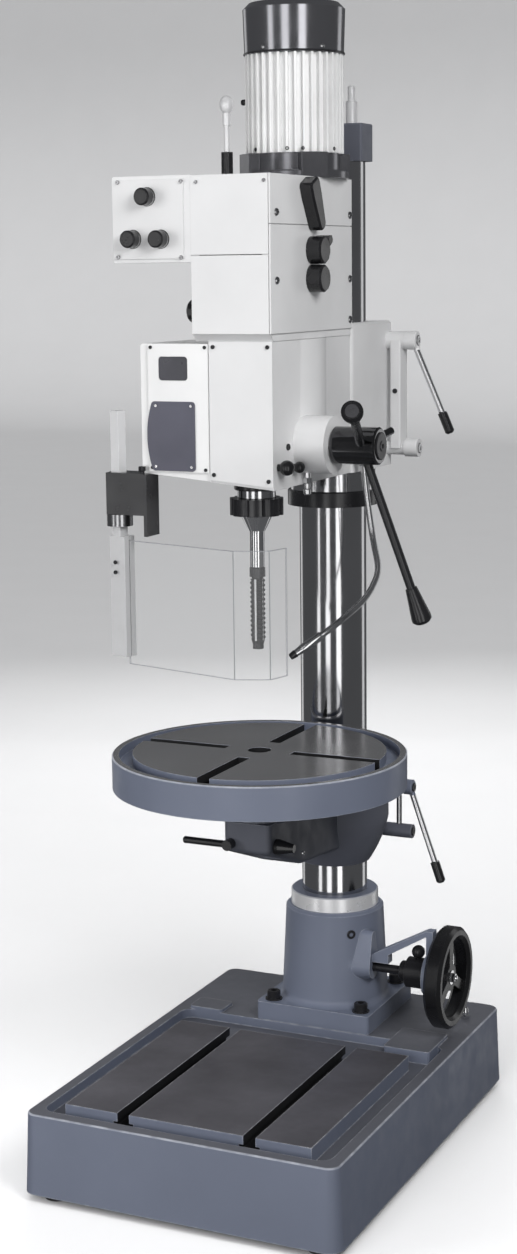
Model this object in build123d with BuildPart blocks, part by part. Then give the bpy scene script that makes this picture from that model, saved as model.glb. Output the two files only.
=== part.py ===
from build123d import *
import math
import os

os.makedirs("parts", exist_ok=True)

# Pillar drill, millimetres, +Z up, operator in front at -Y.
# The origin is the middle of the base's footprint on the floor.

# Fits and clearances
running_gap = 0.3
seat_gap = 0.05
slide_fit = 0.05
cut_over = 1.0
edge_break = 1.5
round_share = 0.4

# Base casting
base_width = 572.0
base_depth = 804.0
base_height = 139.0
base_draft = 2.5
base_corner_r = 26.0
base_wall = 22.0
rim_width = 22.0
rim_round = 4.0
trough_depth = 17.0
trough_corner_r = 22.0
deck_depth = 248.0
plateau_width = 445.0
plateau_depth = 425.0
plateau_height = 27.0
plateau_front_gap = 17.0
pad_proud = 6.0
pad_corner_r = 6.0
pad_rear = 63.0
right_pad_front = 162.0
right_pad_x = (160.0, 247.0)
left_pad_x = (-250.0, -183.0)
slot_width = 22.0
slot_head_width = 37.0
slot_head_height = 12.0
base_slot_spread = 114.0

# Levelling feet
levelling_height = 16.0
foot_pad_r = 24.0
foot_pad_height = 10.0
foot_stud_r = 8.0
foot_stud_depth = 40.0
foot_boss_r = 28.0
foot_nut_r = 15.0
foot_nut_height = 6.0
foot_inset = 46.0

# Column and its foot
column_setback = 135.6
column_r = 60.0
column_bore_r = 46.0
column_length = 1402.0
foot_flange = 222.0
foot_flange_height = 34.0
foot_corner_r = 6.0
foot_low_r = 98.0
foot_top_r = 90.2
foot_body_height = 209.0
foot_ring_r = 80.5
foot_ring_height = 27.0
foot_edge = 5.0
foot_ring_edge = 2.0
column_seat = 150.0
bearing_web = 15.0
gear_chamber_r = 50.0
cap_width = 137.0
cap_depth = 54.0
cap_height = 64.0
cap_spigot = 20.0
cap_edge = 4.0
stud_offset = 39.0
stud_r = 10.0
stud_height = 39.0
stud_knob_r = 6.5
stud_knob_height = 26.0

# Table elevating drive
shaft_offset = 45.0
shaft_height = 107.0
shaft_r = 8.0
shaft_tail = 42.0
shaft_boss_r = 22.0
shaft_boss_end = 96.0
shaft_boss_top = 58.0
shaft_boss_tip_r = 9.0
shaft_boss_slope = 14.0
skew_gear_teeth = 18
skew_gear_gap = 0.6
skew_gear_width = 20.0
skew_tooth_depth = 4.5
skew_gear_room = 2.0
screw_r = 10.0
screw_length = 545.0
bracket_thick = 20.0
bracket_bar = 11.0
bracket_rise = 66.0
bracket_leg = 13.0
bracket_foot_length = 32.0
bracket_foot_rise = 17.0
bracket_lift = 4.0
housing_start = 150.0
housing_step_r = 19.0
housing_step = 14.0
housing_r = 28.0
housing_end = 214.0
housing_chamfer = 2.0
lock_knob_x = 183.0
lock_ball_r = 12.0
lock_stem_r = 4.0
lock_ball_height = 40.0
lock_stem_depth = 12.0
wheel_x = 240.0
wheel_r = 92.0
rim_width_x = 33.0
rim_depth = 21.0
rim_edge = 6.0
wheel_hub_r = 24.0
wheel_hub_length = 32.0
wheel_hub_cap = 4.0
spoke_width = 19.0
spoke_thick = 13.0

# Table, its arm and clamp
table_top = 719.0
table_r = 250.0
table_rim_height = 57.0
table_rim = 12.0
table_rim_edge = 2.0
table_disc_proud = 2.0
gutter_width = 23.0
gutter_depth = 16.0
table_plate = 41.0
table_skirt = 16.0
table_bore_r = 20.0
table_slot_start = 60.0
table_slot_depth = 27.0
table_hub_r = 46.0
table_spigot_r = 34.0
table_spigot_lift = 4.0
arm_drop = 22.0
arm_half_width = 43.5
arm_nose = 56.0
arm_nose_depth = 51.0
arm_front_drop = 107.0
arm_belly = 240.0
arm_belly_drop = 52.0
arm_root_rise = 30.0
arm_corner_r = 10.0
pivot_overlap = 4.0
pivot_r = 52.0
hub_r = 100.0
hub_low_r = 66.0
hub_height = 192.0
hub_taper = 82.0
hub_edge = 6.0
hub_swell = (0.58, 0.45)
lug_width = 20.0
lug_reach = 72.0
lug_height = 18.0
lug_drop = 123.0
lug_room = 2.0
lift_overrun = 4.0
nut_r = 30.0
nut_height = 40.0
arm_clamp_y = 60.0
arm_clamp_drop = 83.0
arm_clamp_spacing = 84.0
clamp_boss_r = 13.0
clamp_cap_r = 16.0
arm_boss_end = 116.0
arm_low_boss_end = 132.0
link_x = 105.0
link_r = 5.0
table_lift_up = 131.0
table_lift_down = 41.0

# Clamp levers
table_lever_hub = (14.0, 17.0)
head_lever_hub = (16.5, 22.0)
lever_root_share = 0.6
table_lever_slant = 19.5
table_lever_length = 186.0
head_lever_slant = 23.5
head_lever_length = 180.0
lever_rod_r = 5.5
lever_grip_r = 8.5
lever_grip_length = 40.0
lever_stud_r = 7.0
lever_stud_length = 44.0

# Table lock lever and index knob
lock_x = -29.0
lock_drop = 93.0
lock_hub_r = 9.0
lock_hub_length = 18.0
lock_rod_r = 6.0
lock_rod_length = 85.0
lock_stud_depth = 6.0
lock_stud_r = 5.4
index_back = 31.0
index_drop = 98.0
index_r = 13.5
index_tip_r = 7.0
index_length = 33.0
index_rim = 6.0
index_pin_depth = 2.0
index_pin_r = 4.2

# Support collar
collar_bottom = 1107.0
collar_r = 81.0
collar_height = 27.0
collar_ear = 30.0
collar_ear_end = 86.0
collar_slit = 3.0
collar_ear_angle = 60.0

# Head casting
throat = 324.0
sleeve_r = 76.5
sleeve_height = 36.0
housing_half = 70.0
housing_rear = 116.0
housing_top = 1430.0
housing_corner_r = 10.0
housing_edge = 4.0
nose_left = 47.0
nose_right = 66.0
nose_front = 398.0
nose_top = 1410.0
nose_low_left = 1181.0
nose_low_right = 1171.0
hollow_front = 250.0
hollow_rear = 95.0
hollow_floor = 1190.0
hollow_left = 35.0
hollow_right = 54.0
hollow_corner_r = 8.0
bulge_y = 238.0
bulge_half = 56.0
bulge_proud = 12.0
bulge_bottom = 1230.0
feed_offset = 48.0
feed_z = 1237.0
feed_boss_r = 48.0
feed_boss_end = 121.0
slit_width = 4.0
head_clamp_y = 95.0
head_clamp_z = 1395.0
head_clamp_spacing = 193.0
head_boss_end = 104.5
head_low_boss_end = 130.0
bar_width = 20.0
bar_depth = 36.0
bar_x = 90.0
bar_corner_r = 3.0

# Gearbox and covers
gearbox_half = 70.4
gearbox_front = 412.0
gearbox_rear = 77.0
gearbox_height = 263.0
gearbox_wall = 8.0
gearbox_roof = 14.0
gearbox_floor = 10.0
gearbox_bevel = 12.0
cover_thick = 3.0
cover_seam = 1.2
front_split = 1547.0
side_split = 1594.5
rod_socket_r = 9.5
rod_socket_height = 39.0
front_window_edge = 14.0
cover_lift = 4.0
bearing_shoulder = 1.0
bearing_cover = 2.0

# Motor
motor_flange_r = 90.0
motor_flange_height = 41.0
motor_flange_edge = 2.5
motor_flange_plate = 13.0
motor_flange_core_r = 76.0
motor_lug_width = 46.0
motor_lug_reach = 91.0
motor_core_r = 74.0
motor_fin_r = 82.7
motor_fin_count = 36
motor_fin_thick = 4.0
motor_fin_root = 2.0
motor_fin_phase = 5.0
motor_length = 161.0
motor_bore_r = 46.0
motor_end_wall = 14.0
fan_cover_low_r = 83.4
fan_cover_high_r = 85.8
fan_cover_height = 84.0
fan_cover_round = 10.0
fan_cover_wall = 2.5
fan_cap_r = 32.0
fan_cap_height = 7.0
vent_count = 12
vent_width = 8.0
vent_inner_r = 40.0
vent_outer_r = 68.0
rotor_r = 45.3
rotor_length = 100.0
motor_shaft_r = 14.0
fan_r = 66.0
fan_height = 26.0
fan_blades = 8
fan_blade_thick = 4.0
fan_hub_r = 22.0

# Gear train, equal centres for both stages
gear_module = 3.0
pinion_teeth = 20
wheel_teeth = 36
gear_width = 22.0
gear_backlash = 0.9
pressure_angle = 20.0
tooth_tip = 0.85
tooth_root = 1.15
tip_relief = 1.25
root_relief = 0.55
pinion_room = 1.5
upper_gear_z = 1600.0
lower_gear_z = 1440.0
layshaft_r = 12.0
sleeve_tube_r = 22.0
sleeve_top = 1585.0
bearing_height = 9.0
bearing_width = 14.0
wide_bearing_height = 12.0

# Quill, spindle and tool
quill_r = 32.0
quill_bore_r = 24.0
quill_bottom = 1151.0
quill_top = 1392.0
rack_module = 2.5
feed_pinion_teeth = 16
rack_backlash = 0.8
rack_half_width = 14.0
rack_teeth_below = 2
rack_over = 0.5
spindle_r = 14.0
spindle_top = 1640.0
spindle_edge = 2.0
spindle_bearing_inset = 4.0
nose_collar_r = 44.5
nose_collar_height = 28.4
nose_collar_lobes = 8
nose_scallop_r = 9.0
nose_scallop_set = 0.55
holder_r = 27.0
holder_taper = 27.0
holder_step = 1.5
arbor_r = 12.5
arbor_length = 70.3
tap_r = 13.4
tap_tip_r = 9.0
tap_length = 139.0
tap_lap = 10.0
tap_tip_length = 26.0
tap_flutes = 4
flute_r = 6.0
flute_set = 0.3
tap_shank_r = 8.0
tap_shank = 30.0

# Feed lever
feed_hub_r = 31.0
feed_hub_end = 202.0
feed_hub_edge = 3.0
feed_shaft_r = 14.0
feed_shaft_tail = 34.0
feed_root_x = 168.0
feed_arms_lean = ((281.0, 16.0), (165.0, 19.0))
feed_arm_r = 7.5
feed_arm_start = 29.0
feed_arm_depth = 8.0
feed_grip_start = 254.0
feed_grip_length = 62.0
feed_grip_small_r = 10.0
feed_grip_large_r = 17.0
feed_grip_edge = 5.0
feed_grip_crown = 11.0
feed_stub_lean = (14.0, 16.0)
feed_stub_r = 6.5
feed_stub_length = 60.0

# Controls on the gearbox and head
gear_lever_y = 252.0
gear_lever_z = 1598.0
gear_lever_lean = 25.0
gear_lever_length = 75.0
gear_lever_width = 36.0
gear_lever_head = 30.0
gear_lever_corner_r = 7.0
gear_lever_foot_r = 12.5
gear_lever_thick = 22.0
gear_lever_edge = 3.0
speed_knob_y = 252.0
speed_knob_z = (1554.0, 1508.0)
speed_knob_r = 22.5
speed_knob_thick = 26.0
knob_edge = 3.0
knob_stem_r = 6.0
knob_stem = 9.0
main_switch_y = 385.0
main_switch_z = 1458.0
main_switch_r = 18.0
main_switch_thick = 16.0
pull_rod_x = -48.0
pull_rod_y = 320.0
pull_rod_r = 4.5
pull_rod_top = 1754.0
pull_neck_r = 6.5
pull_neck_top = 1774.0
pull_ball_r = 11.5
pull_ball_height = 29.0
pull_rod_tail = 20.0
small_knob_y = (381.0, 325.0)
small_knob_z = (1207.0, 1203.0)
small_knob_r = (12.5, 9.5)
small_knob_neck = 3.0

# Control box with its buttons
control_left = 212.0
control_depth = 80.0
control_bottom = 1536.0
control_height = 138.0
control_edge = 4.0
box_wall = 4.0
control_plate_inset = 6.0
control_plate_proud = 2.0
control_plate_edge = 1.0
button_places = ((-147.0, 1641.0), (-174.0, 1574.0), (-123.0, 1573.5))
button_r = 14.0
button_proud = 22.0
button_edge = 2.5
button_stem_r = 8.0
button_stem = 14.0
button_travel = 4.0

# Display box
display_left = 175.0
display_right = 47.5
display_front = 395.0
display_rear = 170.0
display_top = 1406.0
display_low_left = 1193.0
display_low_right = 1182.0
display_edge = 6.0
plate_left = 160.0
plate_right = 49.0
plate_bottom = 1196.0
plate_proud = 4.0
window_left = 140.0
window_right = 87.0
window_bottom = 1346.0
window_top = 1385.0
window_depth = 3.0
window_thick = 2.0
window_corner_r = 6.0
panel_left = 152.0
panel_right = 74.0
panel_bottom = 1198.0
panel_top = 1312.0
panel_belly = 10.0
panel_thick = 2.0
panel_corner_r = 6.0

# Chip guard
guard_x = 222.0
guard_y = 392.0
guard_angle = -15.6
post_size = 18.0
post_bottom = 890.0
post_top = 1295.0
bracket_left = 236.0
bracket_right = 160.0
bracket_split = 166.0
bracket_bottom = 1123.0
bracket_low = 1088.0
bracket_front = 412.0
bracket_rear = 368.0
bush_r = 17.0
bush_ring_r = 22.0
bush_ring_height = 20.0
carrier_bottom = 882.0
carrier_height = 204.0
carrier_width = 24.0
carrier_length = 34.0
carrier_back = 13.0
shield_bottom = 868.0
shield_height = 211.0
shield_thick = 3.0
shield_start = 17.0
shield_folds = ((252.0, 0.0), (298.0, 35.0), (296.0, 80.0))
shield_fold_r = 12.0

# Coolant pipe, points from the column axis
pipe_r = 5.5
pipe_bend_share = 0.45
pipe_block = 26.0
pipe_block_end = 97.0
pipe_block_z = 1214.0
pipe_points = (
    (84.0, -70.0, 1214.0),
    (99.0, -80.0, 1124.0),
    (116.0, -92.0, 1050.0),
    (139.0, -122.0, 1007.0),
    (139.0, -180.0, 968.0),
    (108.0, -256.0, 928.0),
    (66.0, -291.0, 894.0),
)
nozzle_r = 7.5
nozzle_tip_r = 4.5
nozzle_length = 24.0

# Positions that follow from the sizes
deck_top = levelling_height + base_height
trough_floor = deck_top - trough_depth
base_inset = base_height * math.tan(math.radians(base_draft))
trough_half = base_width / 2 - base_inset - rim_width
trough_front = base_inset + rim_width - base_depth / 2
trough_rear = base_depth / 2 - deck_depth
plateau_y = trough_front + plateau_front_gap + plateau_depth / 2
column_y = base_depth / 2 - column_setback
column_bottom = deck_top + column_seat
column_top = column_bottom + column_length
cap_top = column_top + cap_height
foot_flange_top = deck_top + foot_flange_height
foot_body_top = deck_top + foot_body_height
foot_top = foot_body_top + foot_ring_height
shaft_y = column_y - shaft_offset
shaft_z = deck_top + shaft_height
skew_tip_r = (shaft_offset - skew_gear_gap) / 2
gutter_outer_r = table_r - table_rim
table_disc_r = gutter_outer_r - gutter_width
spindle_y = column_y - throat
gear_centres = gear_module * (pinion_teeth + wheel_teeth) / 2
layshaft_y = spindle_y + gear_centres
motor_y = layshaft_y + gear_centres
feed_y = spindle_y + feed_offset
table_under = table_top - table_rim_height
arm_top = table_under - arm_drop
hub_bottom = arm_top - hub_height
lug_top = arm_top - lug_drop
lug_bottom = lug_top - lug_height
arm_front = spindle_y - arm_nose
arm_clamp_z = table_top - arm_clamp_drop - table_rim_height
head_bottom = collar_bottom + collar_height + running_gap
gearbox_top = nose_top + gearbox_height
motor_bottom = gearbox_top + motor_flange_height
motor_top = motor_bottom + motor_length
fan_top = motor_top + fan_cover_height
gearbox_y = column_y - gearbox_front
nose_y = column_y - nose_front
feed_pinion_r = rack_module * feed_pinion_teeth / 2
rack_line = feed_offset - feed_pinion_r
rack_pitch = math.pi * rack_module
nose_collar_bottom = quill_bottom - running_gap - nose_collar_height
holder_low = nose_collar_bottom - holder_taper
arbor_bottom = holder_low - arbor_length
tap_top = arbor_bottom + tap_lap
tap_bottom = tap_top - tap_length
post_x = -guard_x
post_y = column_y - guard_y

column_axis = Axis((0, column_y, 0), (0, 0, 1))
spindle_axis = Axis((0, spindle_y, 0), (0, 0, 1))
motor_axis = Axis((0, motor_y, 0), (0, 0, 1))
shaft_axis = Axis((0, shaft_y, shaft_z), (1, 0, 0))


def rod_x(radius, x_from, x_to, y, z, mode=Mode.ADD):
    """A round bar along X in the part being built."""
    with BuildSketch(Plane.YZ.offset(x_from)) as section:
        with Locations((y, z)):
            Circle(radius)
    extrude(section.sketch, amount=x_to - x_from, mode=mode)


def rod_y(radius, y_from, y_to, x, z, mode=Mode.ADD):
    """A round bar along Y in the part being built."""
    with BuildSketch(Plane.XZ.offset(-y_from)) as section:
        with Locations((x, z)):
            Circle(radius)
    extrude(section.sketch, amount=y_from - y_to, mode=mode)


def rod_z(radius, z_from, z_to, x, y, mode=Mode.ADD):
    """A round bar along Z in the part being built."""
    with BuildSketch(Plane.XY.offset(z_from)) as section:
        with Locations((x, y)):
            Circle(radius)
    extrude(section.sketch, amount=z_to - z_from, mode=mode)


def block(x_from, x_to, y_from, y_to, z_from, z_to, corner=0.0, mode=Mode.ADD):
    """An upright block in the part being built, with its upright edges rounded."""
    width = x_to - x_from
    depth = y_to - y_from
    with BuildSketch(Plane.XY.offset(z_from)) as section:
        with Locations(((x_from + x_to) / 2, (y_from + y_to) / 2)):
            if corner > 0:
                RectangleRounded(width, depth, corner)
            else:
                Rectangle(width, depth)
    extrude(section.sketch, amount=z_to - z_from, mode=mode)


def turned(points, axis, plane, mode=Mode.ADD):
    """A turned form from half its section."""
    with BuildSketch(plane) as section:
        with BuildLine():
            Polyline(*points, close=True)
        make_face()
    revolve(section.sketch, axis=axis, mode=mode)


def tooth_points(teeth, module, phase, backlash):
    """The outline of a spur gear, straight-flanked, with room at the flanks."""
    pitch_r = module * teeth / 2
    tip_r = pitch_r + tooth_tip * module
    root_r = pitch_r - tooth_root * module
    half = math.pi * module / 4 - backlash / 2
    slope = math.tan(math.radians(pressure_angle))
    half_tip = half - tip_relief * (tip_r - pitch_r) * slope
    half_root = half + root_relief * (pitch_r - root_r) * slope
    points = []
    for index in range(teeth):
        middle = math.radians(phase) + 2 * math.pi * index / teeth
        for radius, side in ((root_r, -half_root), (tip_r, -half_tip), (tip_r, half_tip),
                             (root_r, half_root)):
            angle = middle + side / radius
            points.append((radius * math.cos(angle), radius * math.sin(angle)))
    return points


def gear_z(teeth, phase, y, z_from):
    """A gear of the head's train on an upright shaft at y."""
    with BuildSketch(Plane.XY.offset(z_from)) as section:
        with BuildLine():
            outline = tooth_points(teeth, gear_module, phase, gear_backlash)
            Polyline(*[(px, py + y) for px, py in outline], close=True)
        make_face()
    extrude(section.sketch, amount=gear_width)


def skew_points():
    """The outline shared by the two gears of the elevating drive."""
    points = []
    step = 2 * math.pi / skew_gear_teeth
    for index in range(skew_gear_teeth):
        for radius, part in ((skew_tip_r - skew_tooth_depth, 0.0), (skew_tip_r, 0.25), (skew_tip_r, 0.5),
                             (skew_tip_r - skew_tooth_depth, 0.75)):
            angle = step * (index + part)
            points.append((radius * math.cos(angle), radius * math.sin(angle)))
    return points


def clamp_lever(hub, x_from, y, z, lean, length):
    """A drop lever on a clamp screw along X: hub, rod and grip in one solid."""
    hub_radius, hub_length = hub
    slant = math.radians(lean)
    along = Vector(math.sin(slant), 0, -math.cos(slant))
    root = Vector(x_from + hub_length * lever_root_share, y, z)
    with BuildPart() as lever:
        rod_x(lever_stud_r, x_from - lever_stud_length, x_from, y, z)
        rod_x(hub_radius, x_from, x_from + hub_length, y, z)
        chamfer(lever.edges().filter_by(GeomType.CIRCLE).sort_by(Axis.X)[-1:], edge_break)
        with BuildSketch(Plane(origin=root, x_dir=(0, 1, 0), z_dir=along)):
            Circle(lever_rod_r)
        extrude(amount=length)
        grip_at = root + along * (length - lever_grip_length)
        with BuildSketch(Plane(origin=grip_at, x_dir=(0, 1, 0), z_dir=along)):
            Circle(lever_grip_r)
        extrude(amount=lever_grip_length)
        chamfer(lever.edges().sort_by(Axis.Z)[:1], lever_grip_r * round_share)
    return lever


def side_knob(radius, thick, x_face, y, z, outward):
    """A round knob on a side face, its stem through the wall."""
    with BuildPart() as knob:
        rod_x(radius, x_face + outward * running_gap, x_face + outward * thick, y, z)
        rims = knob.edges().filter_by(GeomType.CIRCLE).sort_by(Axis.X)
        chamfer(rims[-1:] if outward > 0 else rims[:1], knob_edge)
        rod_x(knob_stem_r, x_face - outward * knob_stem, x_face + outward * knob_edge, y, z)
    return knob


def ball_knob(radius, x_face, y, z):
    """A ball knob on a short neck, its stem through the side wall."""
    middle = x_face + small_knob_neck + radius
    with BuildPart() as knob:
        rod_x(knob_stem_r, x_face - knob_stem, middle, y, z)
        with Locations((middle, y, z)):
            Sphere(radius)
    return knob


def window_block(y_from, room=0, mode=Mode.ADD):
    """A block in the display's window, from y_from to the bottom of its recess, with room round it."""
    with BuildSketch(Plane.XZ.offset(-y_from)) as outline:
        with Locations(((-window_left - window_right) / 2, (window_bottom + window_top) / 2)):
            RectangleRounded(window_left - window_right - 2 * room, window_top - window_bottom - 2 * room,
                             window_corner_r - room)
    extrude(outline.sketch, amount=y_from - plate_y - window_depth, mode=mode)


def push_button(x, z):
    """A round push-button with its stem in the control box."""
    face = gearbox_y - control_plate_proud
    with BuildPart() as button:
        rod_y(button_r, face - button_travel - running_gap, face - button_proud, x, z)
        chamfer(button.edges().sort_by(Axis.Y)[:1], button_edge)
        rod_y(button_stem_r, face + button_stem, face - button_travel - running_gap, x, z)
    return button


def finish(piece, label):
    piece.part.label = label
    export_step(piece.part, f"parts/{label}.step")


# Base casting: rounded box, drip trough, T-slotted work surface, hollow underside
foot_spread_x = base_width - 2 * foot_inset
foot_spread_y = base_depth - 2 * foot_inset
pocket_height = base_height - trough_depth - base_wall
with BuildPart() as base_casting:
    with BuildSketch(Plane.XY.offset(levelling_height)):
        RectangleRounded(base_width, base_depth, base_corner_r)
    extrude(amount=base_height, taper=base_draft)
    fillet(base_casting.faces().sort_by(Axis.Z)[-1].outer_wire().edges(), rim_round)
    block(-trough_half, trough_half, trough_front, trough_rear, trough_floor, deck_top,
          corner=trough_corner_r, mode=Mode.SUBTRACT)
    with BuildSketch(Plane.XY.offset(trough_floor)):
        with Locations((0, plateau_y)):
            Rectangle(plateau_width, plateau_depth)
    extrude(amount=plateau_height)
    for pad_x, pad_y in ((right_pad_x, column_y - right_pad_front), (left_pad_x, trough_rear)):
        block(pad_x[0], pad_x[1], pad_y, column_y - pad_rear, trough_floor, deck_top + pad_proud,
              corner=pad_corner_r)
    with BuildSketch(Plane.XZ.offset(-plateau_y)):
        with Locations((-base_slot_spread, trough_floor), (base_slot_spread, trough_floor)):
            Rectangle(slot_head_width, slot_head_height, align=(Align.CENTER, Align.MIN))
            Rectangle(slot_width, plateau_height, align=(Align.CENTER, Align.MIN))
    extrude(amount=plateau_depth / 2 + cut_over, both=True, mode=Mode.SUBTRACT)
    with BuildSketch(Plane.XY.offset(levelling_height)):
        RectangleRounded(base_width - 2 * base_wall, base_depth - 2 * base_wall, base_corner_r - base_wall)
        with GridLocations(foot_spread_x, foot_spread_y, 2, 2):
            Circle(foot_boss_r, mode=Mode.SUBTRACT)
        with Locations((0, trough_rear)):
            Rectangle(base_width, base_wall, mode=Mode.SUBTRACT)
    extrude(amount=pocket_height, mode=Mode.SUBTRACT)
    with BuildSketch(Plane.XY.offset(levelling_height)):
        with GridLocations(foot_spread_x, foot_spread_y, 2, 2):
            Circle(foot_stud_r + seat_gap)
    extrude(amount=foot_stud_depth, mode=Mode.SUBTRACT)
finish(base_casting, "base_casting")

with BuildPart() as levelling_feet:
    with BuildSketch():
        with GridLocations(foot_spread_x, foot_spread_y, 2, 2):
            Circle(foot_pad_r)
    extrude(amount=foot_pad_height)
    with BuildSketch():
        with GridLocations(foot_spread_x, foot_spread_y, 2, 2):
            Circle(foot_stud_r)
    extrude(amount=levelling_height + foot_stud_depth - running_gap)
    with BuildSketch(Plane.XY.offset(levelling_height - foot_nut_height)):
        with GridLocations(foot_spread_x, foot_spread_y, 2, 2):
            RegularPolygon(foot_nut_r, 6)
    extrude(amount=foot_nut_height)
finish(levelling_feet, "levelling_feet")

# Column foot: square flange flaring into a round body, boss for the elevating shaft
flare = foot_flange / 2 - foot_low_r
with BuildPart() as column_foot:
    with BuildSketch(Plane.XY.offset(deck_top)):
        with Locations((0, column_y)):
            RectangleRounded(foot_flange, foot_flange, foot_corner_r)
    extrude(amount=foot_flange_height)
    with BuildSketch(Plane.XZ.offset(-column_y)):
        with BuildLine():
            Line((0, foot_flange_top), (foot_flange / 2, foot_flange_top))
            ThreePointArc((foot_flange / 2, foot_flange_top),
                          (foot_flange / 2 - flare * math.cos(math.pi / 4),
                           foot_flange_top + flare * (1 - math.sin(math.pi / 4))),
                          (foot_low_r, foot_flange_top + flare))
            Polyline((foot_low_r, foot_flange_top + flare), (foot_top_r, foot_body_top - foot_edge),
                     (foot_top_r - foot_edge, foot_body_top), (foot_ring_r, foot_body_top),
                     (foot_ring_r, foot_top - foot_ring_edge), (foot_ring_r - foot_ring_edge, foot_top),
                     (0, foot_top),
                     (0, foot_flange_top))
        make_face()
    revolve(axis=column_axis)
    for boss_x, boss_grow in ((0, shaft_boss_slope), (shaft_boss_end, 0)):
        with BuildSketch(Plane.YZ.offset(boss_x)):
            with Locations((shaft_y, shaft_z)):
                Circle(shaft_boss_r + boss_grow)
            with Locations((shaft_y, shaft_z + shaft_boss_top)):
                Circle(shaft_boss_tip_r + boss_grow)
            make_hull()
    loft()
    rod_z(column_r + seat_gap, column_bottom, foot_top, 0, column_y, mode=Mode.SUBTRACT)
    rod_z(gear_chamber_r, deck_top, column_bottom - bearing_web, 0, column_y, mode=Mode.SUBTRACT)
    rod_z(screw_r + running_gap, deck_top, column_bottom, 0, column_y, mode=Mode.SUBTRACT)
    rod_x(shaft_r + running_gap, -shaft_tail - running_gap, shaft_boss_end, shaft_y, shaft_z,
          mode=Mode.SUBTRACT)
    rod_x(skew_tip_r + skew_gear_room, -skew_gear_width / 2 - skew_gear_room,
          skew_gear_width / 2 + skew_gear_room, shaft_y, shaft_z, mode=Mode.SUBTRACT)
finish(column_foot, "column_foot")

# Column tube with the lifting slot at its back
slot_low = lug_bottom - table_lift_down - lift_overrun
slot_high = lug_top + table_lift_up + lift_overrun
with BuildPart() as column:
    rod_z(column_r, column_bottom, column_top, 0, column_y)
    rod_z(column_bore_r, column_bottom, column_top, 0, column_y, mode=Mode.SUBTRACT)
    block(-lug_width / 2 - running_gap, lug_width / 2 + running_gap, column_y + column_bore_r / 2,
          column_y + column_r + cut_over, slot_low, slot_high, mode=Mode.SUBTRACT)
finish(column, "column")

with BuildPart() as column_cap:
    block(-cap_width / 2, cap_width / 2, column_y - cap_depth / 2, column_y + cap_depth / 2,
          column_top, column_top + cap_height, corner=cap_edge)
    chamfer(column_cap.faces().sort_by(Axis.Z)[-1].edges(), cap_edge / 2)
    block(-column_bore_r / 2, column_bore_r / 2, column_y - cap_depth / 2 + cap_edge,
          column_y + cap_depth / 2 - cap_edge, column_top - cap_spigot, column_top)
    rod_z(stud_r, cap_top, cap_top + stud_height, stud_offset, column_y)
    chamfer(column_cap.edges().sort_by(Axis.Z)[-1:], edge_break)
    rod_z(stud_knob_r, cap_top + stud_height, cap_top + stud_height + stud_knob_height, stud_offset, column_y)
    chamfer(column_cap.edges().sort_by(Axis.Z)[-1:], stud_knob_r * round_share)
finish(column_cap, "column_cap")

# Elevating drive: bracket, bearing housing, lock knob, handwheel, shaft and screw
strut_low = shaft_z + shaft_r + bracket_lift
strut_high = shaft_z + housing_r + bracket_rise - bracket_bar
leg_x = housing_end - bracket_leg
bracket_foot_x = shaft_boss_end + bracket_foot_length
with BuildPart() as handwheel_bracket:
    with BuildSketch(Plane.XZ.offset(-shaft_y)):
        with BuildLine():
            Polyline((shaft_boss_end, strut_low), (bracket_foot_x, strut_low),
                     (bracket_foot_x, strut_low + bracket_foot_rise), (leg_x, strut_high - bracket_bar),
                     (leg_x, shaft_z + housing_r), (housing_end, shaft_z + housing_r),
                     (housing_end, strut_high), (leg_x, strut_high),
                     (shaft_boss_end, strut_low + bracket_bar + bracket_lift), close=True)
        make_face()
    extrude(amount=bracket_thick / 2, both=True)
    rod_x(housing_r + bracket_bar, leg_x, housing_end, shaft_y, shaft_z)
    rod_x(housing_r + seat_gap, leg_x, housing_end, shaft_y, shaft_z, mode=Mode.SUBTRACT)
finish(handwheel_bracket, "handwheel_bracket")

with BuildPart() as shaft_housing:
    rod_x(housing_step_r, housing_start, housing_start + housing_step, shaft_y, shaft_z)
    rod_x(housing_r, housing_start + housing_step, housing_end, shaft_y, shaft_z)
    chamfer(shaft_housing.edges().filter_by(GeomType.CIRCLE).sort_by(Axis.X)[:1], housing_chamfer)
    rod_x(shaft_r + running_gap, housing_start, housing_end, shaft_y, shaft_z, mode=Mode.SUBTRACT)
    rod_z(lock_stem_r + running_gap, shaft_z + housing_r - lock_stem_depth, shaft_z + housing_r, lock_knob_x,
          shaft_y, mode=Mode.SUBTRACT)
finish(shaft_housing, "shaft_housing")

lock_ball_z = shaft_z + lock_ball_height
with BuildPart() as shaft_lock_knob:
    rod_z(lock_stem_r, shaft_z + housing_r - lock_stem_depth + running_gap, lock_ball_z, lock_knob_x, shaft_y)
    with Locations((lock_knob_x, shaft_y, lock_ball_z)):
        Sphere(lock_ball_r)
finish(shaft_lock_knob, "shaft_lock_knob")

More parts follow.
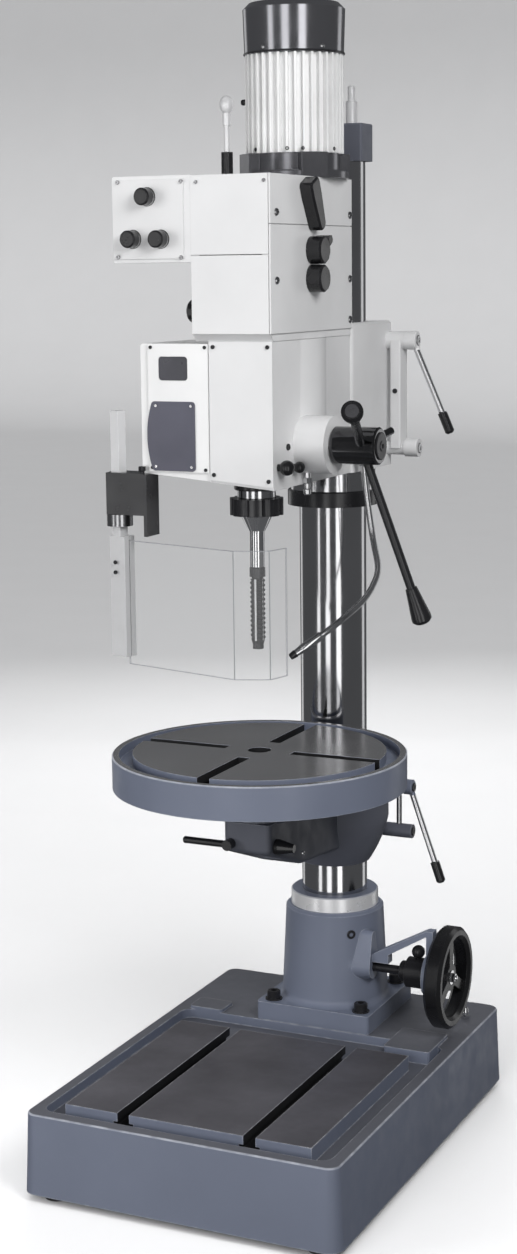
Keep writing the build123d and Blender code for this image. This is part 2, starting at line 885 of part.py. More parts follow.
wheel_hub_x = housing_end + running_gap
wheel_bore_end = wheel_hub_x + wheel_hub_length - wheel_hub_cap
with BuildPart() as handwheel:
    with BuildSketch(Plane.XZ.offset(-shaft_y)) as wheel_rim:
        with Locations((wheel_x, shaft_z + wheel_r - rim_depth / 2)):
            Rectangle(rim_width_x, rim_depth)
        chamfer(wheel_rim.vertices(), rim_edge)
    revolve(axis=shaft_axis)
    with BuildSketch(Plane.YZ.offset(wheel_x - spoke_thick / 2)):
        with Locations((shaft_y, shaft_z)):
            with PolarLocations((wheel_r - rim_depth / 2) / 2, 3, start_angle=90):
                Rectangle(wheel_r - rim_depth, spoke_width)
    extrude(amount=spoke_thick)
    rod_x(wheel_hub_r, wheel_hub_x, wheel_hub_x + wheel_hub_length, shaft_y, shaft_z)
    rod_x(shaft_r + seat_gap, wheel_hub_x, wheel_bore_end, shaft_y, shaft_z, mode=Mode.SUBTRACT)
finish(handwheel, "handwheel")

with BuildPart() as elevating_shaft:
    rod_x(shaft_r, -shaft_tail, wheel_bore_end - running_gap, shaft_y, shaft_z)
    with BuildSketch(Plane.YZ.offset(-skew_gear_width / 2)):
        with Locations((shaft_y, shaft_z)):
            Polygon(*skew_points(), align=None)
    extrude(amount=skew_gear_width)
finish(elevating_shaft, "elevating_shaft")

with BuildPart() as elevating_screw:
    rod_z(screw_r, deck_top + running_gap, deck_top + screw_length, 0, column_y)
    with BuildSketch(Plane.XY.offset(shaft_z - skew_gear_width / 2)):
        with Locations((0, column_y)):
            Polygon(*skew_points(), align=None)
    extrude(amount=skew_gear_width)
finish(elevating_screw, "elevating_screw")

# Lifting nut: its lug reaches through the slot and carries the arm in a groove
with BuildPart() as lifting_nut:
    rod_z(nut_r, lug_top - nut_height / 2, lug_top + nut_height / 2, 0, column_y)
    block(-lug_width / 2, lug_width / 2, column_y, column_y + lug_reach - running_gap, lug_bottom, lug_top)
    rod_z(screw_r + running_gap, lug_top - nut_height / 2, lug_top + nut_height / 2, 0, column_y,
          mode=Mode.SUBTRACT)
finish(lifting_nut, "lifting_nut")

# Table arm: hub on the column, beam, pivot boss, clamp bosses
arm_low_boss_z = arm_clamp_z - arm_clamp_spacing
nose_bottom = table_under - arm_front_drop
nose_block_top = nose_bottom + arm_nose_depth
with BuildPart() as arm_beam:
    with BuildSketch(Plane.YZ):
        with BuildLine():
            Polyline((column_y, arm_top - hub_edge), (spindle_y + pivot_r, arm_top - hub_edge),
                     (spindle_y, nose_block_top), (arm_front, nose_block_top), (arm_front, nose_bottom),
                     (column_y - arm_belly, nose_bottom - arm_belly_drop),
                     (column_y, hub_bottom + arm_root_rise), close=True)
        make_face()
    extrude(amount=arm_half_width, both=True)
    beam_edges = arm_beam.faces().sort_by(Axis.Y)[0].edges()
    beam_edges += arm_beam.faces().filter_by(lambda face: face.normal_at().Z < -0.5).edges()
    beam_edges = beam_edges.filter_by(lambda edge: edge.center().Z < nose_block_top)
    fillet(beam_edges.filter_by(lambda edge: edge.center().Y < column_y - arm_corner_r), arm_corner_r)

with BuildPart() as table_arm:
    with BuildSketch(Plane.XZ.offset(-column_y)):
        with BuildLine():
            Line((0, hub_bottom), (hub_low_r, hub_bottom))
            ThreePointArc((hub_low_r, hub_bottom),
                          (hub_low_r + (hub_r - hub_low_r) * hub_swell[0],
                           hub_bottom + hub_taper * hub_swell[1]),
                          (hub_r, hub_bottom + hub_taper))
            Polyline((hub_r, hub_bottom + hub_taper), (hub_r, arm_top - hub_edge),
                     (hub_r - hub_edge, arm_top), (0, arm_top), (0, hub_bottom))
        make_face()
    revolve(axis=column_axis)
    add(arm_beam.part)
    rod_z(pivot_r, nose_block_top - pivot_overlap, arm_top, 0, spindle_y)
    rod_x(clamp_boss_r, hub_r / 2, arm_boss_end, column_y + arm_clamp_y, arm_clamp_z)
    rod_x(clamp_boss_r, hub_r / 2, arm_low_boss_end, column_y + arm_clamp_y, arm_low_boss_z)
    rod_z(column_r + running_gap, hub_bottom, arm_top, 0, column_y, mode=Mode.SUBTRACT)
    rod_z(math.hypot(lug_reach, lug_width / 2) + running_gap, lug_bottom - lug_room, lug_top + running_gap, 0,
          column_y, mode=Mode.SUBTRACT)
    rod_z(table_spigot_r + running_gap, hub_bottom, arm_top, 0, spindle_y, mode=Mode.SUBTRACT)
    rod_x(lever_stud_r + running_gap, arm_boss_end - lever_stud_length - cut_over, arm_boss_end,
          column_y + arm_clamp_y, arm_clamp_z, mode=Mode.SUBTRACT)
    rod_y(lock_stud_r + running_gap, arm_front, arm_front + lock_stud_depth + cut_over, lock_x,
          table_under - lock_drop, mode=Mode.SUBTRACT)
    rod_x(index_pin_r + running_gap, arm_half_width - index_pin_depth, arm_half_width, spindle_y - index_back,
          table_under - index_drop, mode=Mode.SUBTRACT)
finish(table_arm, "table_arm")

with BuildPart() as table_clamp_link:
    rod_z(link_r, arm_low_boss_z + clamp_boss_r, arm_clamp_z - clamp_boss_r, link_x, column_y + arm_clamp_y)
finish(table_clamp_link, "table_clamp_link")

table_clamp_lever = clamp_lever(table_lever_hub, arm_boss_end + running_gap, column_y + arm_clamp_y,
                                arm_clamp_z, table_lever_slant, table_lever_length)
finish(table_clamp_lever, "table_clamp_lever")

lock_z = table_under - lock_drop
with BuildPart() as table_lock_lever:
    rod_y(lock_stud_r, arm_front + lock_stud_depth, arm_front - running_gap, lock_x, lock_z)
    rod_y(lock_hub_r, arm_front - running_gap, arm_front - lock_hub_length, lock_x, lock_z)
    rod_x(lock_rod_r, lock_x, lock_x - lock_rod_length, arm_front - lock_hub_length / 2, lock_z)
    chamfer(table_lock_lever.edges().sort_by(Axis.X)[:1], lock_rod_r * round_share)
finish(table_lock_lever, "table_lock_lever")

index_y = spindle_y - index_back
index_z = table_under - index_drop
index_face = arm_half_width + running_gap
with BuildPart() as index_knob:
    with BuildSketch(Plane.XY.offset(index_z)):
        with BuildLine():
            Polyline((index_face - index_pin_depth, index_y),
                     (index_face - index_pin_depth, index_y + index_pin_r),
                     (index_face, index_y + index_pin_r), (index_face, index_y + index_r),
                     (index_face + index_rim, index_y + index_r),
                     (index_face + index_length, index_y + index_tip_r),
                     (index_face + index_length, index_y), close=True)
        make_face()
    revolve(axis=Axis((0, index_y, index_z), (1, 0, 0)))
finish(index_knob, "index_knob")

# Round table: gutter, four T-slots, centre bore, pivot spigot
disc_top = table_top + table_disc_proud
plate_under = disc_top - table_plate
with BuildPart() as table:
    turned([(table_bore_r, disc_top), (table_disc_r, disc_top), (table_disc_r, table_top - gutter_depth),
            (gutter_outer_r, table_top - gutter_depth), (gutter_outer_r, table_top),
            (table_r - table_rim_edge, table_top), (table_r, table_top - table_rim_edge),
            (table_r, table_under), (table_r - table_skirt, table_under),
            (table_r - table_skirt, plate_under), (table_hub_r + table_skirt, plate_under),
            (table_hub_r, table_under), (table_hub_r, arm_top + running_gap),
            (table_spigot_r, arm_top + running_gap), (table_spigot_r, nose_bottom + table_spigot_lift),
            (table_bore_r, nose_bottom + table_spigot_lift)], spindle_axis, Plane.XZ.offset(-spindle_y))
    for angle in (0, 90, 180, 270):
        outward = Vector(math.cos(math.radians(angle)), math.sin(math.radians(angle)), 0)
        start = Vector(0, spindle_y, disc_top - table_slot_depth) + outward * table_slot_start
        with BuildSketch(Plane(origin=start, x_dir=outward.cross(Vector(0, 0, 1)) * -1, z_dir=outward)):
            Rectangle(slot_head_width, slot_head_height, align=(Align.CENTER, Align.MIN))
            Rectangle(slot_width, table_slot_depth, align=(Align.CENTER, Align.MIN))
        extrude(amount=table_disc_r - table_slot_start + cut_over, mode=Mode.SUBTRACT)
finish(table, "table")

# Support collar under the head, split at one ear
ear_turn = math.radians(collar_ear_angle)
with BuildPart() as support_collar:
    rod_z(collar_r, collar_bottom, collar_bottom + collar_height, 0, column_y)
    ear_at = Plane(origin=(0, column_y, collar_bottom), x_dir=(math.cos(ear_turn), math.sin(ear_turn), 0),
                   z_dir=(0, 0, 1))
    with BuildSketch(ear_at):
        Rectangle(collar_ear_end, collar_ear, align=(Align.MIN, Align.CENTER))
    extrude(amount=collar_height)
    chamfer(support_collar.faces().sort_by(Axis.Z)[-1].outer_wire().edges(), edge_break)
    with BuildSketch(ear_at):
        Rectangle(collar_ear_end + cut_over, collar_slit, align=(Align.MIN, Align.CENTER))
        Circle(column_r + running_gap)
    extrude(amount=collar_height, mode=Mode.SUBTRACT)
finish(support_collar, "support_collar")

# Head casting: column housing with clamp, quill housing, feed boss, side bulge
clamp_y = column_y + head_clamp_y
low_clamp_z = head_clamp_z - head_clamp_spacing
with BuildPart() as head_casting:
    block(-housing_half, housing_half, column_y - gearbox_rear, column_y + housing_rear,
          head_bottom + sleeve_height, housing_top, corner=housing_corner_r)
    chamfer(head_casting.faces().sort_by(Axis.Z)[-1].edges(), housing_edge)
    rod_z(sleeve_r, head_bottom, head_bottom + sleeve_height, 0, column_y)
    with BuildSketch(Plane.XZ.offset(-nose_y)):
        with BuildLine():
            Polyline((-nose_left, nose_top), (nose_right, nose_top), (nose_right, nose_low_right),
                     (-nose_left, nose_low_left), close=True)
        make_face()
    extrude(amount=gearbox_rear - nose_front)
    with BuildSketch(Plane.XY.offset(bulge_bottom)):
        with BuildLine():
            Line((nose_right, column_y - bulge_y - bulge_half), (nose_right, column_y - bulge_y + bulge_half))
            ThreePointArc((nose_right, column_y - bulge_y + bulge_half),
                          (nose_right + bulge_proud, column_y - bulge_y),
                          (nose_right, column_y - bulge_y - bulge_half))
        make_face()
    extrude(amount=nose_top - running_gap - bulge_bottom)
    rod_x(feed_boss_r, 0, feed_boss_end, feed_y, feed_z)
    rod_x(clamp_cap_r, housing_half - cut_over, head_boss_end, clamp_y, head_clamp_z)
    rod_x(clamp_boss_r, housing_half - cut_over, head_low_boss_end, clamp_y, low_clamp_z)
    rod_x(clamp_cap_r, head_boss_end, head_low_boss_end, clamp_y, low_clamp_z)
    block(-hollow_left, hollow_right, column_y - hollow_front, column_y - hollow_rear, hollow_floor, nose_top,
          corner=hollow_corner_r, mode=Mode.SUBTRACT)
    rod_z(column_r + running_gap, head_bottom, housing_top, 0, column_y, mode=Mode.SUBTRACT)
    block(-slit_width / 2, slit_width / 2, column_y + column_r / 2, column_y + housing_rear + cut_over,
          head_bottom, housing_top, mode=Mode.SUBTRACT)
    rod_z(quill_r + slide_fit, head_bottom, nose_top, 0, spindle_y, mode=Mode.SUBTRACT)
    rod_x(feed_shaft_r + running_gap, -feed_shaft_tail - running_gap, feed_boss_end, feed_y, feed_z,
          mode=Mode.SUBTRACT)
    rod_x(feed_pinion_r + rack_module + cut_over, -rack_half_width - skew_gear_room,
          rack_half_width + skew_gear_room, feed_y, feed_z, mode=Mode.SUBTRACT)
    rod_x(lever_stud_r + running_gap, head_boss_end - lever_stud_length - cut_over, head_boss_end, clamp_y,
          head_clamp_z, mode=Mode.SUBTRACT)
    for knob_y, knob_z in zip(small_knob_y, small_knob_z):
        rod_x(knob_stem_r + running_gap, nose_right - knob_stem - cut_over, nose_right, column_y - knob_y,
              knob_z, mode=Mode.SUBTRACT)
finish(head_casting, "head_casting")

head_clamp_lever = clamp_lever(head_lever_hub, head_boss_end + running_gap, clamp_y, head_clamp_z,
                               head_lever_slant, head_lever_length)
finish(head_clamp_lever, "head_clamp_lever")

with BuildPart() as head_clamp_bar:
    block(bar_x - bar_width / 2, bar_x + bar_width / 2, clamp_y - bar_depth / 2, clamp_y + bar_depth / 2,
          low_clamp_z, head_clamp_z, corner=bar_corner_r)
    for boss_z, boss_radius in ((low_clamp_z, clamp_boss_r), (head_clamp_z, clamp_cap_r)):
        rod_x(boss_radius + seat_gap, bar_x - bar_width, bar_x + bar_width, clamp_y, boss_z,
              mode=Mode.SUBTRACT)
finish(head_clamp_bar, "head_clamp_bar")

# Gearbox: an open-fronted case with a bevelled lower front edge
case_front = gearbox_y + cover_thick
case_right = gearbox_half - cover_thick
case_rear = column_y - gearbox_rear
with BuildPart() as gearbox_housing:
    with BuildSketch(Plane.YZ.offset(-gearbox_half)):
        with BuildLine():
            Polyline((case_front, gearbox_top), (case_rear, gearbox_top), (case_rear, nose_top),
                     (case_front + gearbox_bevel, nose_top), (case_front, nose_top + gearbox_bevel),
                     close=True)
        make_face()
    extrude(amount=gearbox_half + case_right)
    block(gearbox_wall - gearbox_half, case_right - gearbox_wall + cover_thick,
          case_front + front_window_edge, case_rear - gearbox_wall, nose_top + gearbox_floor,
          gearbox_top - gearbox_roof, mode=Mode.SUBTRACT)
    block(front_window_edge - gearbox_half, case_right - front_window_edge, case_front,
          case_front + front_window_edge, nose_top + 2 * gearbox_bevel, gearbox_top - gearbox_roof,
          mode=Mode.SUBTRACT)
    rod_z(rod_socket_r, gearbox_top, gearbox_top + rod_socket_height, pull_rod_x, column_y - pull_rod_y)
    rod_z(pull_rod_r + running_gap, gearbox_top - gearbox_roof, gearbox_top + rod_socket_height, pull_rod_x,
          column_y - pull_rod_y, mode=Mode.SUBTRACT)
    rod_z(sleeve_tube_r + bearing_width + seat_gap, nose_top, nose_top + gearbox_floor, 0, spindle_y,
          mode=Mode.SUBTRACT)
    rod_z(layshaft_r + bearing_width + seat_gap, nose_top + bearing_shoulder, nose_top + gearbox_floor, 0,
          layshaft_y, mode=Mode.SUBTRACT)
    rod_z(layshaft_r + bearing_width + seat_gap, gearbox_top - gearbox_roof, gearbox_top - bearing_cover, 0,
          layshaft_y, mode=Mode.SUBTRACT)
    rod_z(gear_module * (pinion_teeth / 2 + pinion_room), gearbox_top - gearbox_roof, gearbox_top, 0, motor_y,
          mode=Mode.SUBTRACT)
    rod_x(knob_stem_r + running_gap, -gearbox_half, gearbox_wall - gearbox_half, column_y - main_switch_y,
          main_switch_z, mode=Mode.SUBTRACT)
    for knob_z in speed_knob_z:
        rod_x(knob_stem_r + running_gap, 0, case_right, column_y - speed_knob_y, knob_z, mode=Mode.SUBTRACT)
    rod_x(knob_stem_r + running_gap, 0, case_right, column_y - gear_lever_y, gear_lever_z, mode=Mode.SUBTRACT)
finish(gearbox_housing, "gearbox_housing")

with BuildPart() as gearbox_covers:
    for low, high in ((nose_top + gearbox_bevel, front_split - cover_seam / 2),
                      (front_split + cover_seam / 2, gearbox_top)):
        block(-gearbox_half, case_right - cover_seam, gearbox_y, case_front, low, high)
    for low, high in ((nose_top + gearbox_bevel, side_split - cover_seam / 2),
                      (side_split + cover_seam / 2, gearbox_top)):
        block(case_right, gearbox_half, gearbox_y, case_rear, low, high)
    for knob_z in speed_knob_z:
        rod_x(knob_stem_r + running_gap, case_right, gearbox_half, column_y - speed_knob_y, knob_z,
              mode=Mode.SUBTRACT)
    rod_x(knob_stem_r + running_gap, case_right, gearbox_half, column_y - gear_lever_y, gear_lever_z,
          mode=Mode.SUBTRACT)
finish(gearbox_covers, "gearbox_covers")

with BuildPart() as lower_front_cover:
    with BuildSketch(Plane.XZ.offset(-nose_y)):
        with BuildLine():
            Polyline((-nose_left, nose_top), (nose_right, nose_top),
                     (nose_right, nose_low_right + cover_lift),
                     (-nose_left, nose_low_left + cover_lift), close=True)
        make_face()
    extrude(amount=cover_thick)
finish(lower_front_cover, "lower_front_cover")

# Motor: flange, finned body, fan cover, rotor with fan and pinion
with BuildPart() as motor_flange:
    rod_z(motor_flange_r, gearbox_top, gearbox_top + motor_flange_plate, 0, motor_y)
    chamfer(motor_flange.edges().sort_by(Axis.Z)[-1:], motor_flange_edge)
    rod_z(motor_flange_core_r, gearbox_top, motor_bottom, 0, motor_y)
    with BuildSketch(Plane.XY.offset(gearbox_top)):
        with Locations((0, motor_y)):
            with PolarLocations(motor_lug_reach / 2, 4, start_angle=45):
                Rectangle(motor_lug_reach, motor_lug_width)
    extrude(amount=motor_flange_height)
    rod_z(motor_shaft_r + bearing_width + seat_gap, gearbox_top, motor_bottom, 0, motor_y, mode=Mode.SUBTRACT)
finish(motor_flange, "motor_flange")

with BuildPart() as motor_housing:
    with BuildSketch(Plane.XY.offset(motor_bottom)):
        with Locations((0, motor_y)):
            Circle(motor_core_r)
            with PolarLocations((motor_core_r + motor_fin_r - motor_fin_root) / 2, motor_fin_count,
                                start_angle=motor_fin_phase):
                Rectangle(motor_fin_r - motor_core_r + motor_fin_root, motor_fin_thick)
            Circle(motor_bore_r, mode=Mode.SUBTRACT)
    extrude(amount=motor_length)
    rod_z(motor_core_r - cut_over, motor_top - motor_end_wall, motor_top, 0, motor_y)
    rod_z(motor_shaft_r + bearing_width + seat_gap, motor_top - motor_end_wall, motor_top, 0, motor_y,
          mode=Mode.SUBTRACT)
finish(motor_housing, "motor_housing")

with BuildPart() as fan_cover:
    turned([(0, motor_top), (fan_cover_low_r, motor_top), (fan_cover_high_r, fan_top - fan_cover_round),
            (fan_cover_high_r - fan_cover_round, fan_top), (fan_cap_r, fan_top),
            (fan_cap_r, fan_top + fan_cap_height), (0, fan_top + fan_cap_height)],
           motor_axis, Plane.XZ.offset(-motor_y))
    turned([(0, motor_top), (fan_cover_low_r - fan_cover_wall, motor_top),
            (fan_cover_high_r - fan_cover_wall, fan_top - fan_cover_round),
            (fan_cover_high_r - fan_cover_round, fan_top - fan_cover_wall), (0, fan_top - fan_cover_wall)],
           motor_axis, Plane.XZ.offset(-motor_y), mode=Mode.SUBTRACT)
    with BuildSketch(Plane.XY.offset(fan_top - 2 * fan_cover_wall)):
        with Locations((0, motor_y)):
            with PolarLocations((vent_inner_r + vent_outer_r) / 2, vent_count):
                Rectangle(vent_outer_r - vent_inner_r, vent_width)
    extrude(amount=4 * fan_cover_wall, mode=Mode.SUBTRACT)
finish(fan_cover, "fan_cover")

fan_z = motor_top + (fan_cover_height - fan_height) / 2
rotor_z = motor_bottom + (motor_length - motor_end_wall - rotor_length) / 2
with BuildPart() as motor_rotor:
    rod_z(motor_shaft_r, upper_gear_z - bearing_cover, fan_z + fan_height, 0, motor_y)
    rod_z(rotor_r, rotor_z, rotor_z + rotor_length, 0, motor_y)
    gear_z(pinion_teeth, -90, motor_y, upper_gear_z)
    with BuildSketch(Plane.XY.offset(fan_z)):
        with Locations((0, motor_y)):
            Circle(fan_hub_r)
            with PolarLocations((fan_hub_r + fan_r - motor_fin_root) / 2, fan_blades):
                Rectangle(fan_r - fan_hub_r + motor_fin_root, fan_blade_thick)
    extrude(amount=fan_height)
finish(motor_rotor, "motor_rotor")

# Layshaft, drive sleeve and the fixed bearings of the train
with BuildPart() as layshaft:
    rod_z(layshaft_r, nose_top + bearing_shoulder + running_gap, gearbox_top - bearing_cover - running_gap, 0,
          layshaft_y)
    gear_z(wheel_teeth, 90 + 180 / wheel_teeth, layshaft_y, upper_gear_z)
    gear_z(pinion_teeth, -90, layshaft_y, lower_gear_z)
finish(layshaft, "layshaft")

with BuildPart() as drive_sleeve:
    rod_z(sleeve_tube_r, nose_top, sleeve_top, 0, spindle_y)
    gear_z(wheel_teeth, 90 + 180 / wheel_teeth, spindle_y, lower_gear_z)
    rod_z(spindle_r + slide_fit, nose_top, sleeve_top, 0, spindle_y, mode=Mode.SUBTRACT)
finish(drive_sleeve, "drive_sleeve")

with BuildPart() as shaft_bearings:
    for y, shaft, low, high in ((spindle_y, sleeve_tube_r, nose_top, nose_top + bearing_height),
                                (layshaft_y, layshaft_r, nose_top + bearing_shoulder,
                                 nose_top + bearing_shoulder + bearing_height),
                                (layshaft_y, layshaft_r, gearbox_top - gearbox_roof,
                                 gearbox_top - bearing_cover),
                                (motor_y, motor_shaft_r, motor_bottom - wide_bearing_height, motor_bottom),
                                (motor_y, motor_shaft_r, motor_top - motor_end_wall, motor_top)):
        with BuildSketch(Plane.XY.offset(low)):
            with Locations((0, y)):
                Circle(shaft + bearing_width)
                Circle(shaft + running_gap, mode=Mode.SUBTRACT)
        extrude(amount=high - low)
finish(shaft_bearings, "shaft_bearings")

# Quill with its rack, spindle, bearings, collar, tap holder and tap
rack_teeth = int((quill_top - feed_z + rack_pitch / 2) / rack_pitch)
rack_tip = rack_line + tooth_tip * rack_module
rack_root = rack_line - tooth_root * rack_module
groove_half = rack_pitch / 4 + rack_backlash / 2
groove_slope = math.tan(math.radians(pressure_angle))
with BuildPart() as quill:
    rod_z(quill_r, quill_bottom, quill_top, 0, spindle_y)
    block(-rack_half_width, rack_half_width, spindle_y + rack_tip, spindle_y + quill_r + cut_over,
          feed_z - (rack_teeth_below + 0.5) * rack_pitch, quill_top, mode=Mode.SUBTRACT)
    with BuildSketch(Plane.YZ):
        for index in range(-rack_teeth_below, rack_teeth + 1):
            middle = feed_z + index * rack_pitch
            half_tip = groove_half + (rack_tip - rack_line) * groove_slope
            half_root = groove_half - (rack_line - rack_root) * groove_slope
            with BuildLine():
                Polyline((spindle_y + rack_root, middle - half_root),
                         (spindle_y + rack_root, middle + half_root),
                         (spindle_y + rack_tip + rack_over, middle + half_tip),
                         (spindle_y + rack_tip + rack_over, middle - half_tip), close=True)
            make_face()
    extrude(amount=rack_half_width, both=True, mode=Mode.SUBTRACT)
    rod_z(quill_bore_r, quill_bottom, quill_top, 0, spindle_y, mode=Mode.SUBTRACT)
finish(quill, "quill")

with BuildPart() as spindle_bearings:
    for low in (quill_bottom + spindle_bearing_inset,
                quill_top - spindle_bearing_inset - wide_bearing_height):
        with BuildSketch(Plane.XY.offset(low)):
            with Locations((0, spindle_y)):
                Circle(quill_bore_r - seat_gap)
                Circle(spindle_r + running_gap, mode=Mode.SUBTRACT)
        extrude(amount=wide_bearing_height)
finish(spindle_bearings, "spindle_bearings")

with BuildPart() as spindle:
    rod_z(spindle_r, nose_collar_bottom, spindle_top, 0, spindle_y)
    chamfer(spindle.edges().sort_by(Axis.Z)[-1:], spindle_edge)
finish(spindle, "spindle")

with BuildPart() as nose_collar:
    with BuildSketch(Plane.XY.offset(nose_collar_bottom)):
        with Locations((0, spindle_y)):
            Circle(nose_collar_r)
            with PolarLocations(nose_collar_r + nose_scallop_r * nose_scallop_set, nose_collar_lobes):
                Circle(nose_scallop_r, mode=Mode.SUBTRACT)
            Circle(spindle_r + seat_gap, mode=Mode.SUBTRACT)
    extrude(amount=nose_collar_height)
finish(nose_collar, "nose_collar")

with BuildPart() as tap_holder:
    turned([(0, nose_collar_bottom), (holder_r, nose_collar_bottom), (arbor_r + holder_step, holder_low),
            (arbor_r, holder_low), (arbor_r, arbor_bottom), (0, arbor_bottom)],
           spindle_axis, Plane.XZ.offset(-spindle_y))
    rod_z(tap_shank_r + seat_gap, arbor_bottom, tap_top + tap_shank, 0, spindle_y, mode=Mode.SUBTRACT)
    rod_z(tap_r + seat_gap, arbor_bottom, tap_top, 0, spindle_y, mode=Mode.SUBTRACT)
finish(tap_holder, "tap_holder")

with BuildPart() as tap:
    turned([(0, tap_top), (tap_r, tap_top), (tap_r, tap_bottom + tap_tip_length), (tap_tip_r, tap_bottom),
            (0, tap_bottom)], spindle_axis, Plane.XZ.offset(-spindle_y))
    with BuildSketch(Plane.XY.offset(tap_bottom)):
        with Locations((0, spindle_y)):
            with PolarLocations(tap_r + flute_r * flute_set, tap_flutes, start_angle=45):
                Circle(flute_r)
    extrude(amount=tap_length, mode=Mode.SUBTRACT)
    rod_z(tap_shank_r, tap_top, tap_top + tap_shank - running_gap, 0, spindle_y)
finish(tap, "tap")

# Feed lever: hub, pinion shaft, two long arms with grips, one short handle
def feed_direction(angle, lean):
    """The way an arm points: its angle about the feed axis and its lean outwards."""
    turn = math.radians(angle)
    slant = math.radians(lean)
    return Vector(math.sin(slant), math.cos(slant) * math.cos(turn), math.cos(slant) * math.sin(turn))


feed_root = Vector(feed_root_x, feed_y, feed_z)
feed_hub_x = feed_boss_end + running_gap
arm_ways = [feed_direction(angle, lean) for angle, lean in feed_arms_lean]
stub_way = feed_direction(*feed_stub_lean)
with BuildPart() as feed_hub:
    rod_x(feed_hub_r, feed_hub_x, feed_hub_end, feed_y, feed_z)
    chamfer(feed_hub.edges().filter_by(GeomType.CIRCLE), feed_hub_edge)
    rod_x(feed_shaft_r, -feed_shaft_tail, feed_hub_x, feed_y, feed_z)
    with BuildSketch(Plane.YZ.offset(-rack_half_width)):
        with BuildLine():
            outline = tooth_points(feed_pinion_teeth, rack_module, 180, rack_backlash)
            Polyline(*[(py + feed_y, pz + feed_z) for py, pz in outline], close=True)
        make_face()
    extrude(amount=2 * rack_half_width)
    for along in arm_ways:
        with BuildSketch(Plane(origin=feed_root + along * (feed_arm_start - feed_arm_depth), z_dir=along)):
            Circle(feed_arm_r + seat_gap)
        extrude(amount=2 * feed_arm_depth, mode=Mode.SUBTRACT)
    stub_start = feed_root + stub_way * (feed_arm_start - feed_arm_depth / 2)
    with BuildSketch(Plane(origin=stub_start, z_dir=stub_way)):
        Circle(feed_stub_r)
    extrude(amount=feed_stub_length)
    chamfer(feed_hub.edges().sort_by(Axis.Y)[-1:], feed_stub_r * round_share)
finish(feed_hub, "feed_hub")

with BuildPart() as feed_arms:
    for along in arm_ways:
        with BuildSketch(Plane(origin=feed_root + along * (feed_arm_start - feed_arm_depth), z_dir=along)):
            Circle(feed_arm_r)
        extrude(amount=feed_grip_start - feed_arm_start + feed_arm_depth)
finish(feed_arms, "feed_arms")

with BuildPart() as feed_grips:
    for along in arm_ways:
        seat = Plane(origin=feed_root + along * feed_grip_start, z_dir=along)
        with BuildSketch(Plane(origin=seat.origin, x_dir=seat.x_dir, z_dir=seat.y_dir * -1)):
            with BuildLine():
                Polyline((0, 0), (0, feed_grip_length),
                         (feed_grip_large_r - feed_grip_edge, feed_grip_length),
                         (feed_grip_large_r, feed_grip_length - feed_grip_edge),
                         (feed_grip_large_r, feed_grip_length - feed_grip_crown),
                         (feed_grip_small_r, 0), close=True)
            make_face()
        revolve(axis=Axis(seat.origin, along))
finish(feed_grips, "feed_grips")

# Controls: gear lever, knobs, pull rod, buttons
lever_lean = math.radians(90 + gear_lever_lean)
lever_plane = Plane(origin=(gearbox_half + running_gap, column_y - gear_lever_y, gear_lever_z),
                    x_dir=(0, math.cos(lever_lean), math.sin(lever_lean)), z_dir=(1, 0, 0))
with BuildPart() as gear_lever:
    with BuildSketch(lever_plane):
        Circle(gear_lever_foot_r)
        with Locations((gear_lever_length - gear_lever_head / 2, 0)):
            RectangleRounded(gear_lever_head, gear_lever_width, gear_lever_corner_r)
        make_hull()
    extrude(amount=gear_lever_thick)
    chamfer(gear_lever.faces().sort_by(Axis.X)[-1].edges(), gear_lever_edge)
    rod_x(knob_stem_r, gearbox_half - knob_stem, gearbox_half + gear_lever_edge, column_y - gear_lever_y,
          gear_lever_z)
finish(gear_lever, "gear_lever")

upper_speed_knob = side_knob(speed_knob_r, speed_knob_thick, gearbox_half, column_y - speed_knob_y,
                             speed_knob_z[0], 1)
finish(upper_speed_knob, "upper_speed_knob")

lower_speed_knob = side_knob(speed_knob_r, speed_knob_thick, gearbox_half, column_y - speed_knob_y,
                             speed_knob_z[1], 1)
finish(lower_speed_knob, "lower_speed_knob")

main_switch = side_knob(main_switch_r, main_switch_thick, -gearbox_half, column_y - main_switch_y,
                        main_switch_z, -1)
finish(main_switch, "main_switch")

with BuildPart() as pull_rod:
    rod_z(pull_rod_r, gearbox_top - pull_rod_tail, pull_rod_top, pull_rod_x, column_y - pull_rod_y)
    rod_z(pull_neck_r, pull_rod_top, pull_neck_top, pull_rod_x, column_y - pull_rod_y)
    ball_z = pull_neck_top + pull_ball_height / 2 - edge_break
    ball_plane = Plane(origin=(pull_rod_x, column_y - pull_rod_y, ball_z), x_dir=(1, 0, 0), z_dir=(0, -1, 0))
    with BuildSketch(ball_plane):
        Ellipse(pull_ball_r, pull_ball_height / 2)
        Rectangle(pull_ball_r, pull_ball_height, align=(Align.MAX, Align.CENTER), mode=Mode.SUBTRACT)
    revolve(axis=Axis(ball_plane.origin, (0, 0, 1)))
finish(pull_rod, "pull_rod")

front_knob = ball_knob(small_knob_r[0], nose_right, column_y - small_knob_y[0], small_knob_z[0])
finish(front_knob, "front_knob")

rear_knob = ball_knob(small_knob_r[1], nose_right, column_y - small_knob_y[1], small_knob_z[1])
finish(rear_knob, "rear_knob")

for (button_x, button_z), button_name in zip(button_places, ("upper_button", "left_button", "right_button")):
    finish(push_button(button_x, button_z), button_name)

